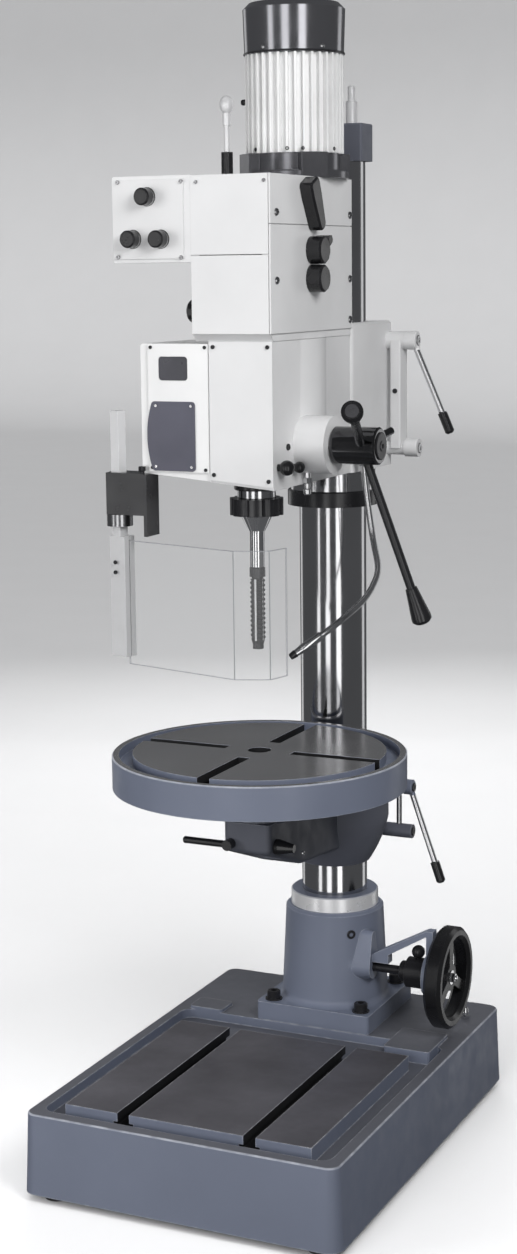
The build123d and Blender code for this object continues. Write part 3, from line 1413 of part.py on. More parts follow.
# Control box on the gearbox's left side
with BuildPart() as control_box:
    block(-control_left, -gearbox_half, gearbox_y, gearbox_y + control_depth, control_bottom,
          control_bottom + control_height)
    fillet(control_box.edges().filter_by(Axis.Y).sort_by(Axis.X)[:2], control_edge)
    block(box_wall - control_left, -gearbox_half, gearbox_y + box_wall, gearbox_y + control_depth - box_wall,
          control_bottom + box_wall, control_bottom + control_height - box_wall, mode=Mode.SUBTRACT)
    block(control_plate_edge - control_left, -gearbox_half - 2 * control_plate_inset,
          gearbox_y - control_plate_proud, gearbox_y,
          control_bottom + control_plate_inset, control_bottom + control_height - control_plate_inset)
    for button_x, button_z in button_places:
        rod_y(button_stem_r + running_gap, gearbox_y - control_plate_proud,
              gearbox_y + button_stem + button_travel, button_x, button_z, mode=Mode.SUBTRACT)
finish(control_box, "control_box")

# Display box on the left of the quill housing, with plate, window and lower panel
display_y = column_y - display_front
plate_y = display_y - plate_proud
with BuildPart() as display_box:
    with BuildSketch(Plane.XZ.offset(-display_y)):
        with BuildLine():
            Polyline((-display_left, display_top), (-display_right, display_top),
                     (-display_right, display_low_right), (-display_left, display_low_left), close=True)
        make_face()
    extrude(amount=display_rear - display_front)
    fillet(display_box.edges().filter_by(Axis.Y).sort_by(Axis.X)[:2], display_edge)
    block(box_wall - display_left, -display_right, display_y + box_wall, column_y - display_rear - box_wall,
          display_low_left + box_wall, display_top - box_wall, mode=Mode.SUBTRACT)
    block(-plate_left, -plate_right, plate_y, display_y, plate_bottom, display_top)
    window_block(plate_y, mode=Mode.SUBTRACT)
finish(display_box, "display_box")

with BuildPart() as display_window:
    window_block(plate_y + window_depth - window_thick, running_gap)
finish(display_window, "display_window")

with BuildPart() as display_panel:
    with BuildSketch(Plane.XZ.offset(-plate_y)):
        with BuildLine():
            Polyline((-panel_left, panel_top), (-panel_right, panel_top), (-panel_right, panel_bottom),
                     (-panel_left, panel_bottom))
            ThreePointArc((-panel_left, panel_bottom),
                          (-panel_left - panel_belly, (panel_bottom + panel_top) / 2),
                          (-panel_left, panel_top))
        panel_face = make_face()
        fillet(panel_face.vertices(), panel_corner_r)
    extrude(amount=panel_thick)
finish(display_panel, "display_panel")

# Chip guard: bracket, bush, square post, carrier and folded clear shield
guard_turn = math.radians(guard_angle)
guard_plane = Plane(origin=(post_x, post_y, 0), x_dir=(math.cos(guard_turn), math.sin(guard_turn), 0),
                    z_dir=(0, 0, 1))
bracket_top = display_low_left + (display_low_right - display_low_left) * (
    (display_left - bracket_right) / (display_left - display_right))
with BuildPart() as guard_bracket:
    with BuildSketch(Plane.XZ.offset(bracket_front - column_y)):
        with BuildLine():
            Polyline((-bracket_left, display_low_left), (-display_left, display_low_left),
                     (-bracket_right, bracket_top), (-bracket_right, bracket_low),
                     (-bracket_split, bracket_low),
                     (-bracket_split, bracket_bottom), (-bracket_left, bracket_bottom), close=True)
        make_face()
    extrude(amount=bracket_rear - bracket_front)
    rod_z(bush_r + running_gap, bracket_bottom, display_low_left, post_x, post_y, mode=Mode.SUBTRACT)
finish(guard_bracket, "guard_bracket")

ring_top = bracket_bottom - running_gap
with BuildPart() as guard_bush:
    rod_z(bush_ring_r, ring_top - bush_ring_height, ring_top, post_x, post_y)
    rod_z(bush_r, ring_top, display_low_left, post_x, post_y)
    with BuildSketch(guard_plane.offset(ring_top - bush_ring_height)):
        Rectangle(post_size + 2 * slide_fit, post_size + 2 * slide_fit)
    extrude(amount=display_low_left - ring_top + bush_ring_height, mode=Mode.SUBTRACT)
finish(guard_bush, "guard_bush")

with BuildPart() as guard_frame:
    with BuildSketch(guard_plane.offset(carrier_bottom)):
        with Locations((carrier_length / 2 - carrier_back, 0)):
            Rectangle(carrier_length, carrier_width)
    extrude(amount=carrier_height)
    with BuildSketch(guard_plane.offset(carrier_bottom)):
        with Locations((shield_start, 0)):
            Rectangle(carrier_length, shield_thick + 2 * seat_gap, align=(Align.MIN, Align.CENTER))
    extrude(amount=carrier_height, mode=Mode.SUBTRACT)
    with BuildSketch(guard_plane.offset(post_bottom)):
        Rectangle(post_size, post_size)
    extrude(amount=post_top - post_bottom)
finish(guard_frame, "guard_frame")

with BuildPart() as guard_shield:
    with BuildSketch(guard_plane.offset(shield_bottom)):
        with BuildLine():
            FilletPolyline((shield_start, 0), *shield_folds, radius=shield_fold_r)
        trace(line_width=shield_thick)
    extrude(amount=shield_height)
finish(guard_shield, "guard_shield")

# Coolant pipe: union block on the head, bent pipe, nozzle
with BuildPart() as coolant_pipe:
    route = [Vector(x, y + column_y, z) for x, y, z in pipe_points]
    runs = [after - before for before, after in zip(route, route[1:])]
    bends = []
    for before, after in zip(runs, runs[1:]):
        half_turn = math.radians(before.get_angle(after)) / 2
        bends.append(pipe_bend_share * min(before.length, after.length) / math.tan(half_turn))
    with BuildLine() as pipe_line:
        FilletPolyline(*route, radius=bends)
    with BuildSketch(Plane(origin=route[0], z_dir=runs[0])):
        Circle(pipe_r)
    sweep(path=pipe_line.wires()[0])
    block(housing_half, pipe_block_end, route[0].Y - pipe_block / 2, route[0].Y + pipe_block / 2,
          pipe_block_z - pipe_block / 2, pipe_block_z + pipe_block / 2, corner=4)
    with Locations(Plane(origin=route[-1], z_dir=runs[-1]).location):
        Cone(nozzle_r, nozzle_tip_r, nozzle_length, align=(Align.CENTER, Align.CENTER, Align.MIN))
finish(coolant_pipe, "coolant_pipe")
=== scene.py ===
import math
from collections import namedtuple
from functools import partial

import bmesh
import bpy
from mathutils import Matrix, Vector


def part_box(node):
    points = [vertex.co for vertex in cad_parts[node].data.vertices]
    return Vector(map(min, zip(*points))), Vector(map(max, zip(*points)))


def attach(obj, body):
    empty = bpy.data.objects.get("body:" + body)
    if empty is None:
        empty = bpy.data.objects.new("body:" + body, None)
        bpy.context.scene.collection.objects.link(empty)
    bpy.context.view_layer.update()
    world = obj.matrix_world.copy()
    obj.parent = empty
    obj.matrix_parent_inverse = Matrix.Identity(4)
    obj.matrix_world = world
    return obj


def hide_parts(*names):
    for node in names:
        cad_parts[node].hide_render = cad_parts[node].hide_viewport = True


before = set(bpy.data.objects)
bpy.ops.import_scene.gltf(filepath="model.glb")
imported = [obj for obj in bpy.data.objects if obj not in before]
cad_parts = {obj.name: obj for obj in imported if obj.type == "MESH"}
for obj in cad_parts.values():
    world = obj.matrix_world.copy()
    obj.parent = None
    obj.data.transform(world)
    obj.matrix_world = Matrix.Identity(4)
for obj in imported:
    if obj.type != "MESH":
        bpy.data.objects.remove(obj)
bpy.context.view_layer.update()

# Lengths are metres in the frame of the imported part: +Z up, operator in front at -Y.
# Places and profiles of the small pieces are millimetres, which MM turns to metres.
MM = 0.001
UP = Vector((0, 0, 1))
DOWN = -UP
RIGHT = Vector((1, 0, 0))
LEFT = -RIGHT
FRONT = Vector((0, -1, 0))

# Camera
CAMERA_AT = Vector((1.4606, -3.1803, 1.5252))
CAMERA_AIM = Vector((-0.1507, 0.2664, 0.8709))
CAMERA_ROLL = math.radians(-0.65)
CAMERA_LENS = 59.85
CAMERA_SENSOR = 36.0

# Stage
FLOOR_SIZE = 60.0
FLOOR_TONES = ((0.45, 0.45, 0.455), (0.47, 0.47, 0.475))
FLOOR_NOISE_SCALE = 3.0
FLOOR_ROUGHNESS = 0.9
FLOOR_SPECULAR = 0.1
BACKDROP_CURVE = 4.0
BACKDROP_STEPS = 12
BACKDROP_Y = 18.0
BACKDROP_HEIGHT = 9.0

# Lamps: place, aim, size and watts. Panels: azimuth from the front, distance, size and watts.
LAMPS = {
    "key": ((1.95, -1.45, 2.5), (0.0, 0.0, 1.35), (1.2, 1.2), 54.0),
    "front": ((0.1, -3.8, 1.1), (0.0, 0.2, 0.9), (2.4, 2.0), 45.0),
    "left": ((-2.6, -2.4, 1.6), (0.0, 0.0, 1.0), (1.5, 2.0), 50.0),
    "top": ((-0.3, -0.4, 4.2), (0.0, 0.0, 0.5), (2.5, 2.5), 18.0),
    "back": ((-1.4, 3.2, 2.6), (0.0, 0.2, 1.0), (2.0, 2.0), 60.0),
}
STRIPS = {
    "left_panel": (-29.0, 4.2, (0.8, 4.2), 19.0),
    "middle_panel": (4.0, 4.4, (1.2, 4.2), 32.0),
    "right_panel": (41.0, 4.0, (1.1, 4.2), 34.0),
    "rear_panel": (150.0, 4.0, (1.2, 4.2), 14.0),
    "rear_left_panel": (-120.0, 4.0, (1.2, 4.2), 12.0),
}
STRIP_Z = 0.7
SUN_WAY = Vector((-0.15, 0.7, -0.7))
SUN_ANGLE = math.radians(50.0)
SUN_STRENGTH = 3.9
WORLD_COLOUR = (0.94, 0.96, 1.0, 1.0)
WORLD_STRENGTH = 0.12

# Axes of the machine, in millimetres
COLUMN_Y = 266.4
SPINDLE_Y = -57.6
MOTOR_Y = 110.4
FEED_Y, FEED_Z = -9.6, 1237.0
WHEEL_Y, WHEEL_Z = 221.4, 262.0
HEAD_CLAMP_Y = 361.4
TABLE_CLAMP_Y = 326.4
SPEED_KNOB_Y, SPEED_KNOB_Z = COLUMN_Y - 252.0, 1554.0
GUARD_X, GUARD_Y = -222.0, COLUMN_Y - 392.0

# Heights where a finish changes, and half the width of the change
DECK_LOW = 130.0 * MM
PLATEAU_TOP = 164.5 * MM
FOOT_RING_LOW = 364.1 * MM
TABLE_GRIP_TOP = 443.0 * MM
TABLE_HUB_LOW = 565.0 * MM
TABLE_EDGE_LOW = 705.0 * MM
TABLE_RIM_TOP = 718.5 * MM
TABLE_TOP = 721.0 * MM
TAP_TIP = 910.0 * MM
SLEEVE_TOP = 1170.2 * MM
HEAD_GRIP_TOP = 1268.0 * MM
HEAD_HUB_LOW = 1378.5 * MM
GEARBOX_TOP = 1673.4 * MM
CAP_TOP = 1771.2 * MM
FINISH_STEP = 0.1 * MM

# Slots of the table and the base, and the flutes of the tap
TABLE_SLOT_LOW = 690.0 * MM
TABLE_SLOT_HIGH = TABLE_TOP - 0.5 * MM
TABLE_DISC_R = 215.0 * MM
BASE_SLOT_X = 114.0 * MM
BASE_SLOT_LOW = 137.0 * MM
SLOT_HALF = 18.8 * MM
SLOT_MARGIN = 0.4 * MM
PLATEAU_FRONT = -355.0 * MM
PLATEAU_REAR = 70.0 * MM
FLUTE_R = 9.2 * MM

# Noise: scale and detail
PATCH_NOISE = (6.0, 5.0)
SPECK_NOISE = (60.0, 4.0)
GLOSS_NOISE = (30.0, 4.0)
RIM_NOISE = (40.0, 4.0)
SHEET_NOISE = (60.0, 6.0)

# What a noise is spread to, low and high, and the part of it that counts, start and end
WEAR_AND_HIGHLIGHT_SPECKS = (0.25, 1.0, 0.4, 0.7)
RIM_SPECKS = (0.35, 1.0, 0.35, 0.65)

# How far up a face looks where a mask starts and ends
LEVEL = (0.6, 0.8)
LEAN_START = (0.2, 0.35)
LEAN_END = (0.85, 0.97)

# Patches, worn metal, dust and gloss, as shares of a finish's own colour and roughness
PATCH_SHADE = 0.9
WORN_SHINE = 1.6
DUST_GAIN, DUST_LIFT = 1.5, 0.004
GLOSS_LOW, GLOSS_HIGH = 0.85, 1.2

# Clear sheet: colours, alpha, roughness, and its edge mask's width, low and high
SHEET_COLOUR = (0.80, 0.82, 0.83)
SHEET_FACE = (0.86, 0.87, 0.88)
SHEET_EDGE = (0.30, 0.31, 0.33)
SHEET_VEIL = 0.05
SHEET_EDGE_VEIL = 0.85
SHEET_GLOSS = (0.03, 0.10)
SHEET_EDGE_MASK = (3.0 * MM, 0.004, 0.05)

# Bevels, clear coat, smoothing and welding
BEVEL_SAMPLES = 4
COAT_ROUGHNESS = 0.15
SMOOTH_ANGLE = math.radians(30.0)
NODE_WELD = 0.002 * MM
PIECE_WELD = 0.001 * MM

# Points round a turned piece
ROUND = 32
SMALL_ROUND = 24
BEAD_ROUND = 96
SEAL_ROUND = 64
FEED_CAP_ROUND = 48
FOLD_LINE_ROUND = 12

# Kinds of the mix node: data type, and its sockets for first, second and result
COLOUR_MIX = ("RGBA", 6, 7, 2)
VALUE_MIX = ("FLOAT", 2, 3, 0)


# Shader building blocks
def add_node(tree, kind, **settings):
    """A node with its properties set, and its input sockets where the name is one."""
    node = tree.nodes.new(kind)
    for key, value in settings.items():
        label = key.replace("_", " ").title()
        if label in node.inputs:
            node.inputs[label].default_value = value
        else:
            setattr(node, key, value)
    return node


def place_at(tree, stretch=(1.0, 1.0, 1.0), shift=(0.0, 0.0, 0.0)):
    """The piece's own coordinates, drawn out and shifted."""
    place = tree.nodes.new("ShaderNodeTexCoord")
    mapping = add_node(tree, "ShaderNodeMapping", scale=stretch, location=shift)
    tree.links.new(place.outputs["Object"], mapping.inputs["Vector"])
    return mapping.outputs["Vector"]


def noise_at(tree, scale, detail=3.0, stretch=(1.0, 1.0, 1.0)):
    """Noise in the piece's own coordinates, drawn out along an axis where asked."""
    noise = add_node(tree, "ShaderNodeTexNoise", scale=scale, detail=detail)
    tree.links.new(place_at(tree, stretch), noise.inputs["Vector"])
    return noise.outputs["Fac"]


def turned_rings(tree, scale, shift):
    """Fine turning marks round an upright axis."""
    wave = add_node(tree, "ShaderNodeTexWave", wave_type="RINGS", rings_direction="Z",
                    scale=scale, distortion=1.5, detail=2.0)
    tree.links.new(place_at(tree, shift=shift), wave.inputs["Vector"])
    return wave.outputs["Fac"]


def spread(tree, source, low, high, start=0.3, end=0.7):
    """A value between low and high that follows a source between start and end."""
    ramp = tree.nodes.new("ShaderNodeMapRange")
    sockets = ("From Min", "From Max", "To Min", "To Max")
    for socket, value in zip(sockets, (start, end, low, high)):
        ramp.inputs[socket].default_value = value
    tree.links.new(source, ramp.inputs["Value"])
    return ramp.outputs["Result"]


def product(tree, first, second):
    """Two value sockets multiplied."""
    math_node = add_node(tree, "ShaderNodeMath", operation="MULTIPLY")
    tree.links.new(first, math_node.inputs[0])
    tree.links.new(second, math_node.inputs[1])
    return math_node.outputs["Value"]


def put(tree, socket, value):
    """A socket is linked, or set to a number or colour."""
    if isinstance(value, bpy.types.NodeSocket):
        tree.links.new(value, socket)
    elif isinstance(value, tuple):
        socket.default_value = (*value, 1.0)
    else:
        socket.default_value = value


def mixed(tree, factor, first, second, kind=COLOUR_MIX):
    """Two colours, or two values, mixed by a factor socket."""
    data_type, first_socket, second_socket, result = kind
    mix = tree.nodes.new("ShaderNodeMix")
    mix.data_type = data_type
    tree.links.new(factor, mix.inputs["Factor"])
    put(tree, mix.inputs[first_socket], first)
    put(tree, mix.inputs[second_socket], second)
    return mix.outputs[result]


def edge_mask(tree, radius, low=0.02, high=0.16):
    """White along the piece's edges, black on its flats."""
    bevel = add_node(tree, "ShaderNodeBevel", samples=BEVEL_SAMPLES, radius=radius)
    plain = tree.nodes.new("ShaderNodeNewGeometry")
    dot = add_node(tree, "ShaderNodeVectorMath", operation="DOT_PRODUCT")
    tree.links.new(bevel.outputs["Normal"], dot.inputs[0])
    tree.links.new(plain.outputs["Normal"], dot.inputs[1])
    return spread(tree, dot.outputs["Value"], 1.0, 0.0, 1.0 - high, 1.0 - low)


# Masks for pieces with more than one finish
def part_of_place(tree, axis):
    """One coordinate of the piece's own place."""
    split = tree.nodes.new("ShaderNodeSeparateXYZ")
    tree.links.new(place_at(tree), split.inputs["Vector"])
    return split.outputs[axis]


ALONG = partial(part_of_place, axis="Y")
HEIGHT = partial(part_of_place, axis="Z")


def off_middle(tree):
    """Distance from the machine's middle plane."""
    size = add_node(tree, "ShaderNodeMath", operation="ABSOLUTE")
    tree.links.new(part_of_place(tree, "X"), size.inputs[0])
    return size.outputs["Value"]


def off_spindle(tree):
    """Distance from the spindle's axis."""
    length = add_node(tree, "ShaderNodeVectorMath", operation="LENGTH")
    flat = place_at(tree, (1.0, 1.0, 0.0), (0.0, -SPINDLE_Y * MM, 0.0))
    tree.links.new(flat, length.inputs[0])
    return length.outputs["Value"]


def over(level, tree, measure=HEIGHT):
    """White where a measure, height unless told, is over a level."""
    return spread(tree, measure(tree), 0.0, 1.0, level - FINISH_STEP, level + FINISH_STEP)


def under(level, tree, measure=HEIGHT):
    """White where a measure, height unless told, is under a level."""
    return spread(tree, measure(tree), 1.0, 0.0, level - FINISH_STEP, level + FINISH_STEP)


def between(low, high, tree, measure=HEIGHT):
    """White where a measure, height unless told, is between two levels."""
    return product(tree, over(low, tree, measure), under(high, tree, measure))


def upward(tree):
    """How far a face looks up."""
    plain = tree.nodes.new("ShaderNodeNewGeometry")
    split = tree.nodes.new("ShaderNodeSeparateXYZ")
    tree.links.new(plain.outputs["Normal"], split.inputs["Vector"])
    return split.outputs["Z"]


def level_top(level, tree):
    """Faces over a height that look up."""
    return product(tree, over(level, tree), spread(tree, upward(tree), 0.0, 1.0, *LEVEL))


def ring_side(level, tree):
    """Faces over a height that look sideways."""
    return product(tree, over(level, tree), spread(tree, upward(tree), 1.0, 0.0, *LEVEL))


def round_edge(level, tree):
    """Rounded edges over a height, which look neither up nor sideways, broken by specks: where
    the lighter slate lays a painted highlight and wear.
    """
    leaning = product(tree, spread(tree, upward(tree), 0.0, 1.0, *LEAN_START),
                      spread(tree, upward(tree), 1.0, 0.0, *LEAN_END))
    specks = spread(tree, noise_at(tree, *RIM_NOISE), *RIM_SPECKS)
    return product(tree, over(level, tree), product(tree, leaning, specks))


def tap_flute_highlight(tree):
    """Floors of the tap's flutes and its shank, over the tip, where bright metal paints a
    highlight along the flutes.
    """
    return product(tree, under(FLUTE_R, tree, off_spindle), over(TAP_TIP, tree))


def table_slot_shade(tree):
    """Walls and floors of the table's slots and bore, where shade is painted near black."""
    return product(tree, between(TABLE_SLOT_LOW, TABLE_SLOT_HIGH, tree),
                   under(TABLE_DISC_R - SLOT_MARGIN, tree, off_spindle))


def base_slot_shade(tree):
    """Walls and floors of the slots in the base's work surface, where shade is painted near
    black.
    """
    across = between(BASE_SLOT_X - SLOT_HALF, BASE_SLOT_X + SLOT_HALF, tree, off_middle)
    along = between(PLATEAU_FRONT + SLOT_MARGIN, PLATEAU_REAR - SLOT_MARGIN, tree, ALONG)
    upright = between(BASE_SLOT_LOW, PLATEAU_TOP, tree)
    return product(tree, product(tree, across, along), upright)


# Reliefs
ORANGE_PEEL = partial(noise_at, scale=420.0, detail=2.0)
SKIN = partial(noise_at, scale=900.0, detail=2.0)
GRAIN = partial(noise_at, scale=700.0, detail=2.0)
GROUND = partial(noise_at, scale=160.0, detail=2.0, stretch=(1.0, 1.0, 20.0))
DRAWN = partial(noise_at, scale=400.0, detail=2.0, stretch=(1.0, 1.0, 0.02))
TURNED = partial(turned_rings, scale=90.0, shift=(0.0, -SPINDLE_Y * MM, 0.0))

# A finish: colours of body, patches and edges, roughness, metal or not, relief, depth. The edge
# colour is wear, and on the slate paints and the iron a painted highlight
Finish = namedtuple("Finish", "colour patch worn gloss metallic relief depth")


def times(factor, colour):
    """A colour made lighter or darker."""
    return tuple(factor * value for value in colour)


def enamel(colour, worn, gloss, depth=0.012 * MM):
    """Machine enamel with orange peel, faint patches and an edge colour: rubbed edges, and on
    the slate a painted highlight.
    """
    return Finish(colour, times(PATCH_SHADE, colour), worn, gloss, 0.0, ORANGE_PEEL, depth)


def metal(colour, gloss, relief, depth=0.001 * MM, dull=0.8):
    """Bare metal with a fine grain and faint stains."""
    worn = tuple(min(1.0, value) for value in times(WORN_SHINE, colour))
    return Finish(colour, times(dull, colour), worn, gloss, 1.0, relief, depth)


def plastic(colour, gloss, depth=0.004 * MM):
    """Moulded plastic with a fine skin and a little dust."""
    dusty = tuple(value * DUST_GAIN + DUST_LIFT for value in colour)
    return Finish(colour, dusty, dusty, gloss, 0.0, SKIN, depth)


def lay(tree, finish, wear_and_highlight_band):
    """Colour, roughness and relief sockets of one finish, its edge colour laid over a band of a
    given width: wear, and on the slate paints and the iron a painted highlight.
    """
    patches = spread(tree, noise_at(tree, *PATCH_NOISE), 0.0, 1.0)
    body = mixed(tree, patches, finish.colour, finish.patch)
    specks = spread(tree, noise_at(tree, *SPECK_NOISE), *WEAR_AND_HIGHLIGHT_SPECKS)
    wear_and_highlight_edges = product(tree, edge_mask(tree, wear_and_highlight_band), specks)
    colour = mixed(tree, wear_and_highlight_edges, body, finish.worn)
    gloss = spread(tree, noise_at(tree, *GLOSS_NOISE), finish.gloss * GLOSS_LOW,
                   finish.gloss * GLOSS_HIGH)
    relief = spread(tree, finish.relief(tree), 0.0, finish.depth, 0.0, 1.0)
    return colour, gloss, relief


def new_material(name):
    """A material with its node tree and shader."""
    material = bpy.data.materials.new(name)
    material.use_nodes = True
    return material, material.node_tree, material.node_tree.nodes["Principled BSDF"]


def coat(name, base, layers=(), edge=1.0 * MM, clear=0.0, wear_and_highlight_band=1.4 * MM):
    """A material of one finish, with others laid over it where their masks are white."""
    material, tree, shader = new_material(name)
    shader.inputs["Base Color"].default_value = (*base.colour, 1.0)
    shader.inputs["Roughness"].default_value = base.gloss
    shader.inputs["Metallic"].default_value = base.metallic
    shader.inputs["Coat Weight"].default_value = clear
    shader.inputs["Coat Roughness"].default_value = COAT_ROUGHNESS
    colour, gloss, relief = lay(tree, base, wear_and_highlight_band)
    metallic = base.metallic
    for finish, mask in layers:
        where = mask(tree)
        over_colour, over_gloss, over_relief = lay(tree, finish, wear_and_highlight_band)
        colour = mixed(tree, where, colour, over_colour)
        gloss = mixed(tree, where, gloss, over_gloss, VALUE_MIX)
        relief = mixed(tree, where, relief, over_relief, VALUE_MIX)
        metallic = mixed(tree, where, metallic, finish.metallic, VALUE_MIX)
    tree.links.new(colour, shader.inputs["Base Color"])
    tree.links.new(gloss, shader.inputs["Roughness"])
    put(tree, shader.inputs["Metallic"], metallic)
    bevel = add_node(tree, "ShaderNodeBevel", samples=BEVEL_SAMPLES, radius=edge)
    bump = add_node(tree, "ShaderNodeBump", strength=1.0, distance=1.0)
    tree.links.new(relief, bump.inputs["Height"])
    tree.links.new(bevel.outputs["Normal"], bump.inputs["Normal"])
    tree.links.new(bump.outputs["Normal"], shader.inputs["Normal"])
    return material


def clear_sheet(name):
    """Clear sheet, a faint veil on its faces and denser along its cut edges."""
    material, tree, shader = new_material(name)
    shader.inputs["Base Color"].default_value = (*SHEET_COLOUR, 1.0)
    shader.inputs["Alpha"].default_value = SHEET_VEIL
    edges = edge_mask(tree, *SHEET_EDGE_MASK)
    colour = mixed(tree, edges, SHEET_FACE, SHEET_EDGE)
    veil = spread(tree, edges, SHEET_VEIL, SHEET_EDGE_VEIL, 0.0, 1.0)
    gloss = spread(tree, noise_at(tree, *SHEET_NOISE), *SHEET_GLOSS)
    tree.links.new(colour, shader.inputs["Base Color"])
    tree.links.new(veil, shader.inputs["Alpha"])
    tree.links.new(gloss, shader.inputs["Roughness"])
    return material


# Paints and plastics
WHITE = enamel((0.765, 0.765, 0.77), (0.60, 0.60, 0.60), 0.38)
PLATE_WHITE = enamel((0.88, 0.88, 0.88), (0.60, 0.60, 0.60), 0.34)
# The slate paints' edge colours, far lighter than their body, paint a highlight along the edges,
# with some wear
SLATE = enamel((0.175, 0.197, 0.262), (0.52, 0.54, 0.60), 0.45, 0.02 * MM)
# Lighter slate on the rounded edges of base and table: painted highlight, broken by wear specks
SLATE_WEAR_AND_HIGHLIGHT = enamel((0.46, 0.48, 0.54), (0.60, 0.62, 0.66), 0.35, 0.02 * MM)
# Darker slate on the base's upward faces: painted shade
DECK_SHADE = enamel((0.118, 0.122, 0.142), (0.50, 0.51, 0.54), 0.34, 0.02 * MM)
ARM_SLATE = enamel((0.115, 0.122, 0.150), (0.40, 0.42, 0.46), 0.50, 0.02 * MM)
BLACK_PAINT = enamel((0.016, 0.016, 0.018), (0.07, 0.07, 0.075), 0.24, 0.006 * MM)
BLACK = plastic((0.008, 0.008, 0.009), 0.25)
# Near black on the walls and floors of the slots: painted shade
SLOT_SHADE = plastic((0.010, 0.010, 0.011), 0.55)
PANEL_FACE = plastic((0.066, 0.066, 0.088), 0.40)
WINDOW_BLACK = plastic((0.034, 0.034, 0.042), 0.30)
CAP_BLACK = plastic((0.035, 0.035, 0.038), 0.3)
# Grey of the thin strips at the shield's folds: painted shade lines
FOLD_SHADE_GREY = plastic((0.26, 0.27, 0.28), 0.35)
RUBBER = plastic((0.02, 0.02, 0.02), 0.65)

# Metals
STEEL = metal((0.42, 0.42, 0.43), 0.22, GRAIN)
BRIGHT = metal((0.66, 0.66, 0.67), 0.20, GRAIN)
CHROME = metal((0.72, 0.72, 0.73), 0.09, GRAIN, 0.0003 * MM, 0.9)
SATIN = metal((0.74, 0.74, 0.75), 0.36, GRAIN, 0.001 * MM, 0.92)._replace(metallic=0.35)
GUNMETAL = metal((0.20, 0.20, 0.215), 0.22, DRAWN, 0.001 * MM, 0.9)._replace(metallic=0.8)
FAN_GREY = metal((0.34, 0.34, 0.36), 0.16, DRAWN, 0.0005 * MM, 0.92)._replace(metallic=0.95)
DARK_CHROME = metal((0.085, 0.085, 0.09), 0.10, GRAIN, 0.0003 * MM, 0.9)._replace(
    worn=(0.16, 0.16, 0.17))
POLISHED = metal((0.50, 0.50, 0.51), 0.13, GROUND, 0.0012 * MM, 0.9)
# Edge colours of the turned and planed iron, far lighter than the metal: painted highlight along
# the edges, with some wear
TURNED_IRON = metal((0.40, 0.40, 0.41), 0.22, TURNED, 0.003 * MM)._replace(
    metallic=0.75, worn=(0.85, 0.85, 0.85))
PLANED_IRON = metal((0.080, 0.078, 0.088), 0.48, GRAIN, 0.003 * MM, 1.7)._replace(
    metallic=0.25, worn=(0.7, 0.7, 0.72))
ALUMINIUM = metal((0.84, 0.84, 0.85), 0.34, DRAWN, 0.002 * MM)._replace(metallic=0.3)
RING_STEEL = metal((0.90, 0.90, 0.91), 0.30, GRAIN)._replace(metallic=0.35)
OXIDE = metal((0.035, 0.035, 0.038), 0.28, GRAIN)._replace(metallic=0.5)
TOOL_STEEL = metal((0.045, 0.045, 0.048), 0.26, GRAIN)._replace(metallic=0.6)
BRONZE = metal((0.55, 0.36, 0.14), 0.30, GRAIN)

# Finishes laid over others, with their masks
TABLE_LAYERS = [(SLOT_SHADE, table_slot_shade), (TURNED_IRON, partial(level_top, TABLE_RIM_TOP)),
                (SLATE_WEAR_AND_HIGHLIGHT, partial(round_edge, TABLE_EDGE_LOW))]
BASE_LAYERS = [(DECK_SHADE, partial(level_top, DECK_LOW)), (SLOT_SHADE, base_slot_shade),
               (PLANED_IRON, partial(level_top, PLATEAU_TOP)),
               (SLATE_WEAR_AND_HIGHLIGHT, partial(round_edge, DECK_LOW))]
FOOT_LAYERS = [(RING_STEEL, partial(ring_side, FOOT_RING_LOW))]
CAP_LAYERS = [(SATIN, partial(over, CAP_TOP))]
HEAD_LAYERS = [(POLISHED, partial(under, SLEEVE_TOP))]
GEARBOX_LAYERS = [(BLACK, partial(over, GEARBOX_TOP))]

# Materials of the record's slots, of small pieces, and of single nodes
LOOKS = {
    "head_paint": coat("head_paint", WHITE, clear=0.1),
    # The wide band on the slate carries its painted edge highlight
    "base_paint": coat("base_paint", SLATE, wear_and_highlight_band=3.0 * MM),
    "table_iron": coat("table_iron", SLATE, TABLE_LAYERS, wear_and_highlight_band=3.0 * MM),
    "column_steel": coat("column_steel", POLISHED),
    "machine_steel": coat("machine_steel", STEEL, edge=0.5 * MM),
    "chrome": coat("chrome", CHROME, edge=0.4 * MM),
    "dark_paint": coat("dark_paint", BLACK_PAINT),
    "black_plastic": coat("black_plastic", BLACK),
    "aluminium": coat("aluminium", ALUMINIUM, edge=0.6 * MM),
    "clear_sheet": clear_sheet("clear_sheet"),
    "display_face": coat("display_face", PANEL_FACE),
    "bronze": coat("bronze", BRONZE),
    "foot_rubber": coat("foot_rubber", RUBBER),
}
STEEL_LOOK = LOOKS["machine_steel"]
CHROME_LOOK = LOOKS["chrome"]
PAINT_LOOK = LOOKS["dark_paint"]
PLASTIC_LOOK = LOOKS["black_plastic"]
BRIGHT_LOOK = coat("bright_steel", BRIGHT, edge=0.4 * MM)
SATIN_LOOK = coat("satin_steel", SATIN, edge=0.4 * MM)
OXIDE_LOOK = coat("black_oxide", OXIDE, edge=0.3 * MM)
# Bright satin in the flute floors of the black tap: painted highlight
TOOL_LOOK = coat("tool_steel", TOOL_STEEL, [(SATIN, tap_flute_highlight)], edge=0.3 * MM)
CAP_LOOK = coat("grip_cap", CAP_BLACK)
FOLD_SHADE_LOOK = coat("shield_fold_shade_paint", FOLD_SHADE_GREY)


def lever_look(name, hub, hub_low, grip_top):
    """A clamp lever: hub in its own finish, chrome rod, black grip."""
    layers = [(hub, partial(over, hub_low)), (BLACK, partial(under, grip_top))]
    return coat(name, CHROME, layers, edge=0.6 * MM)


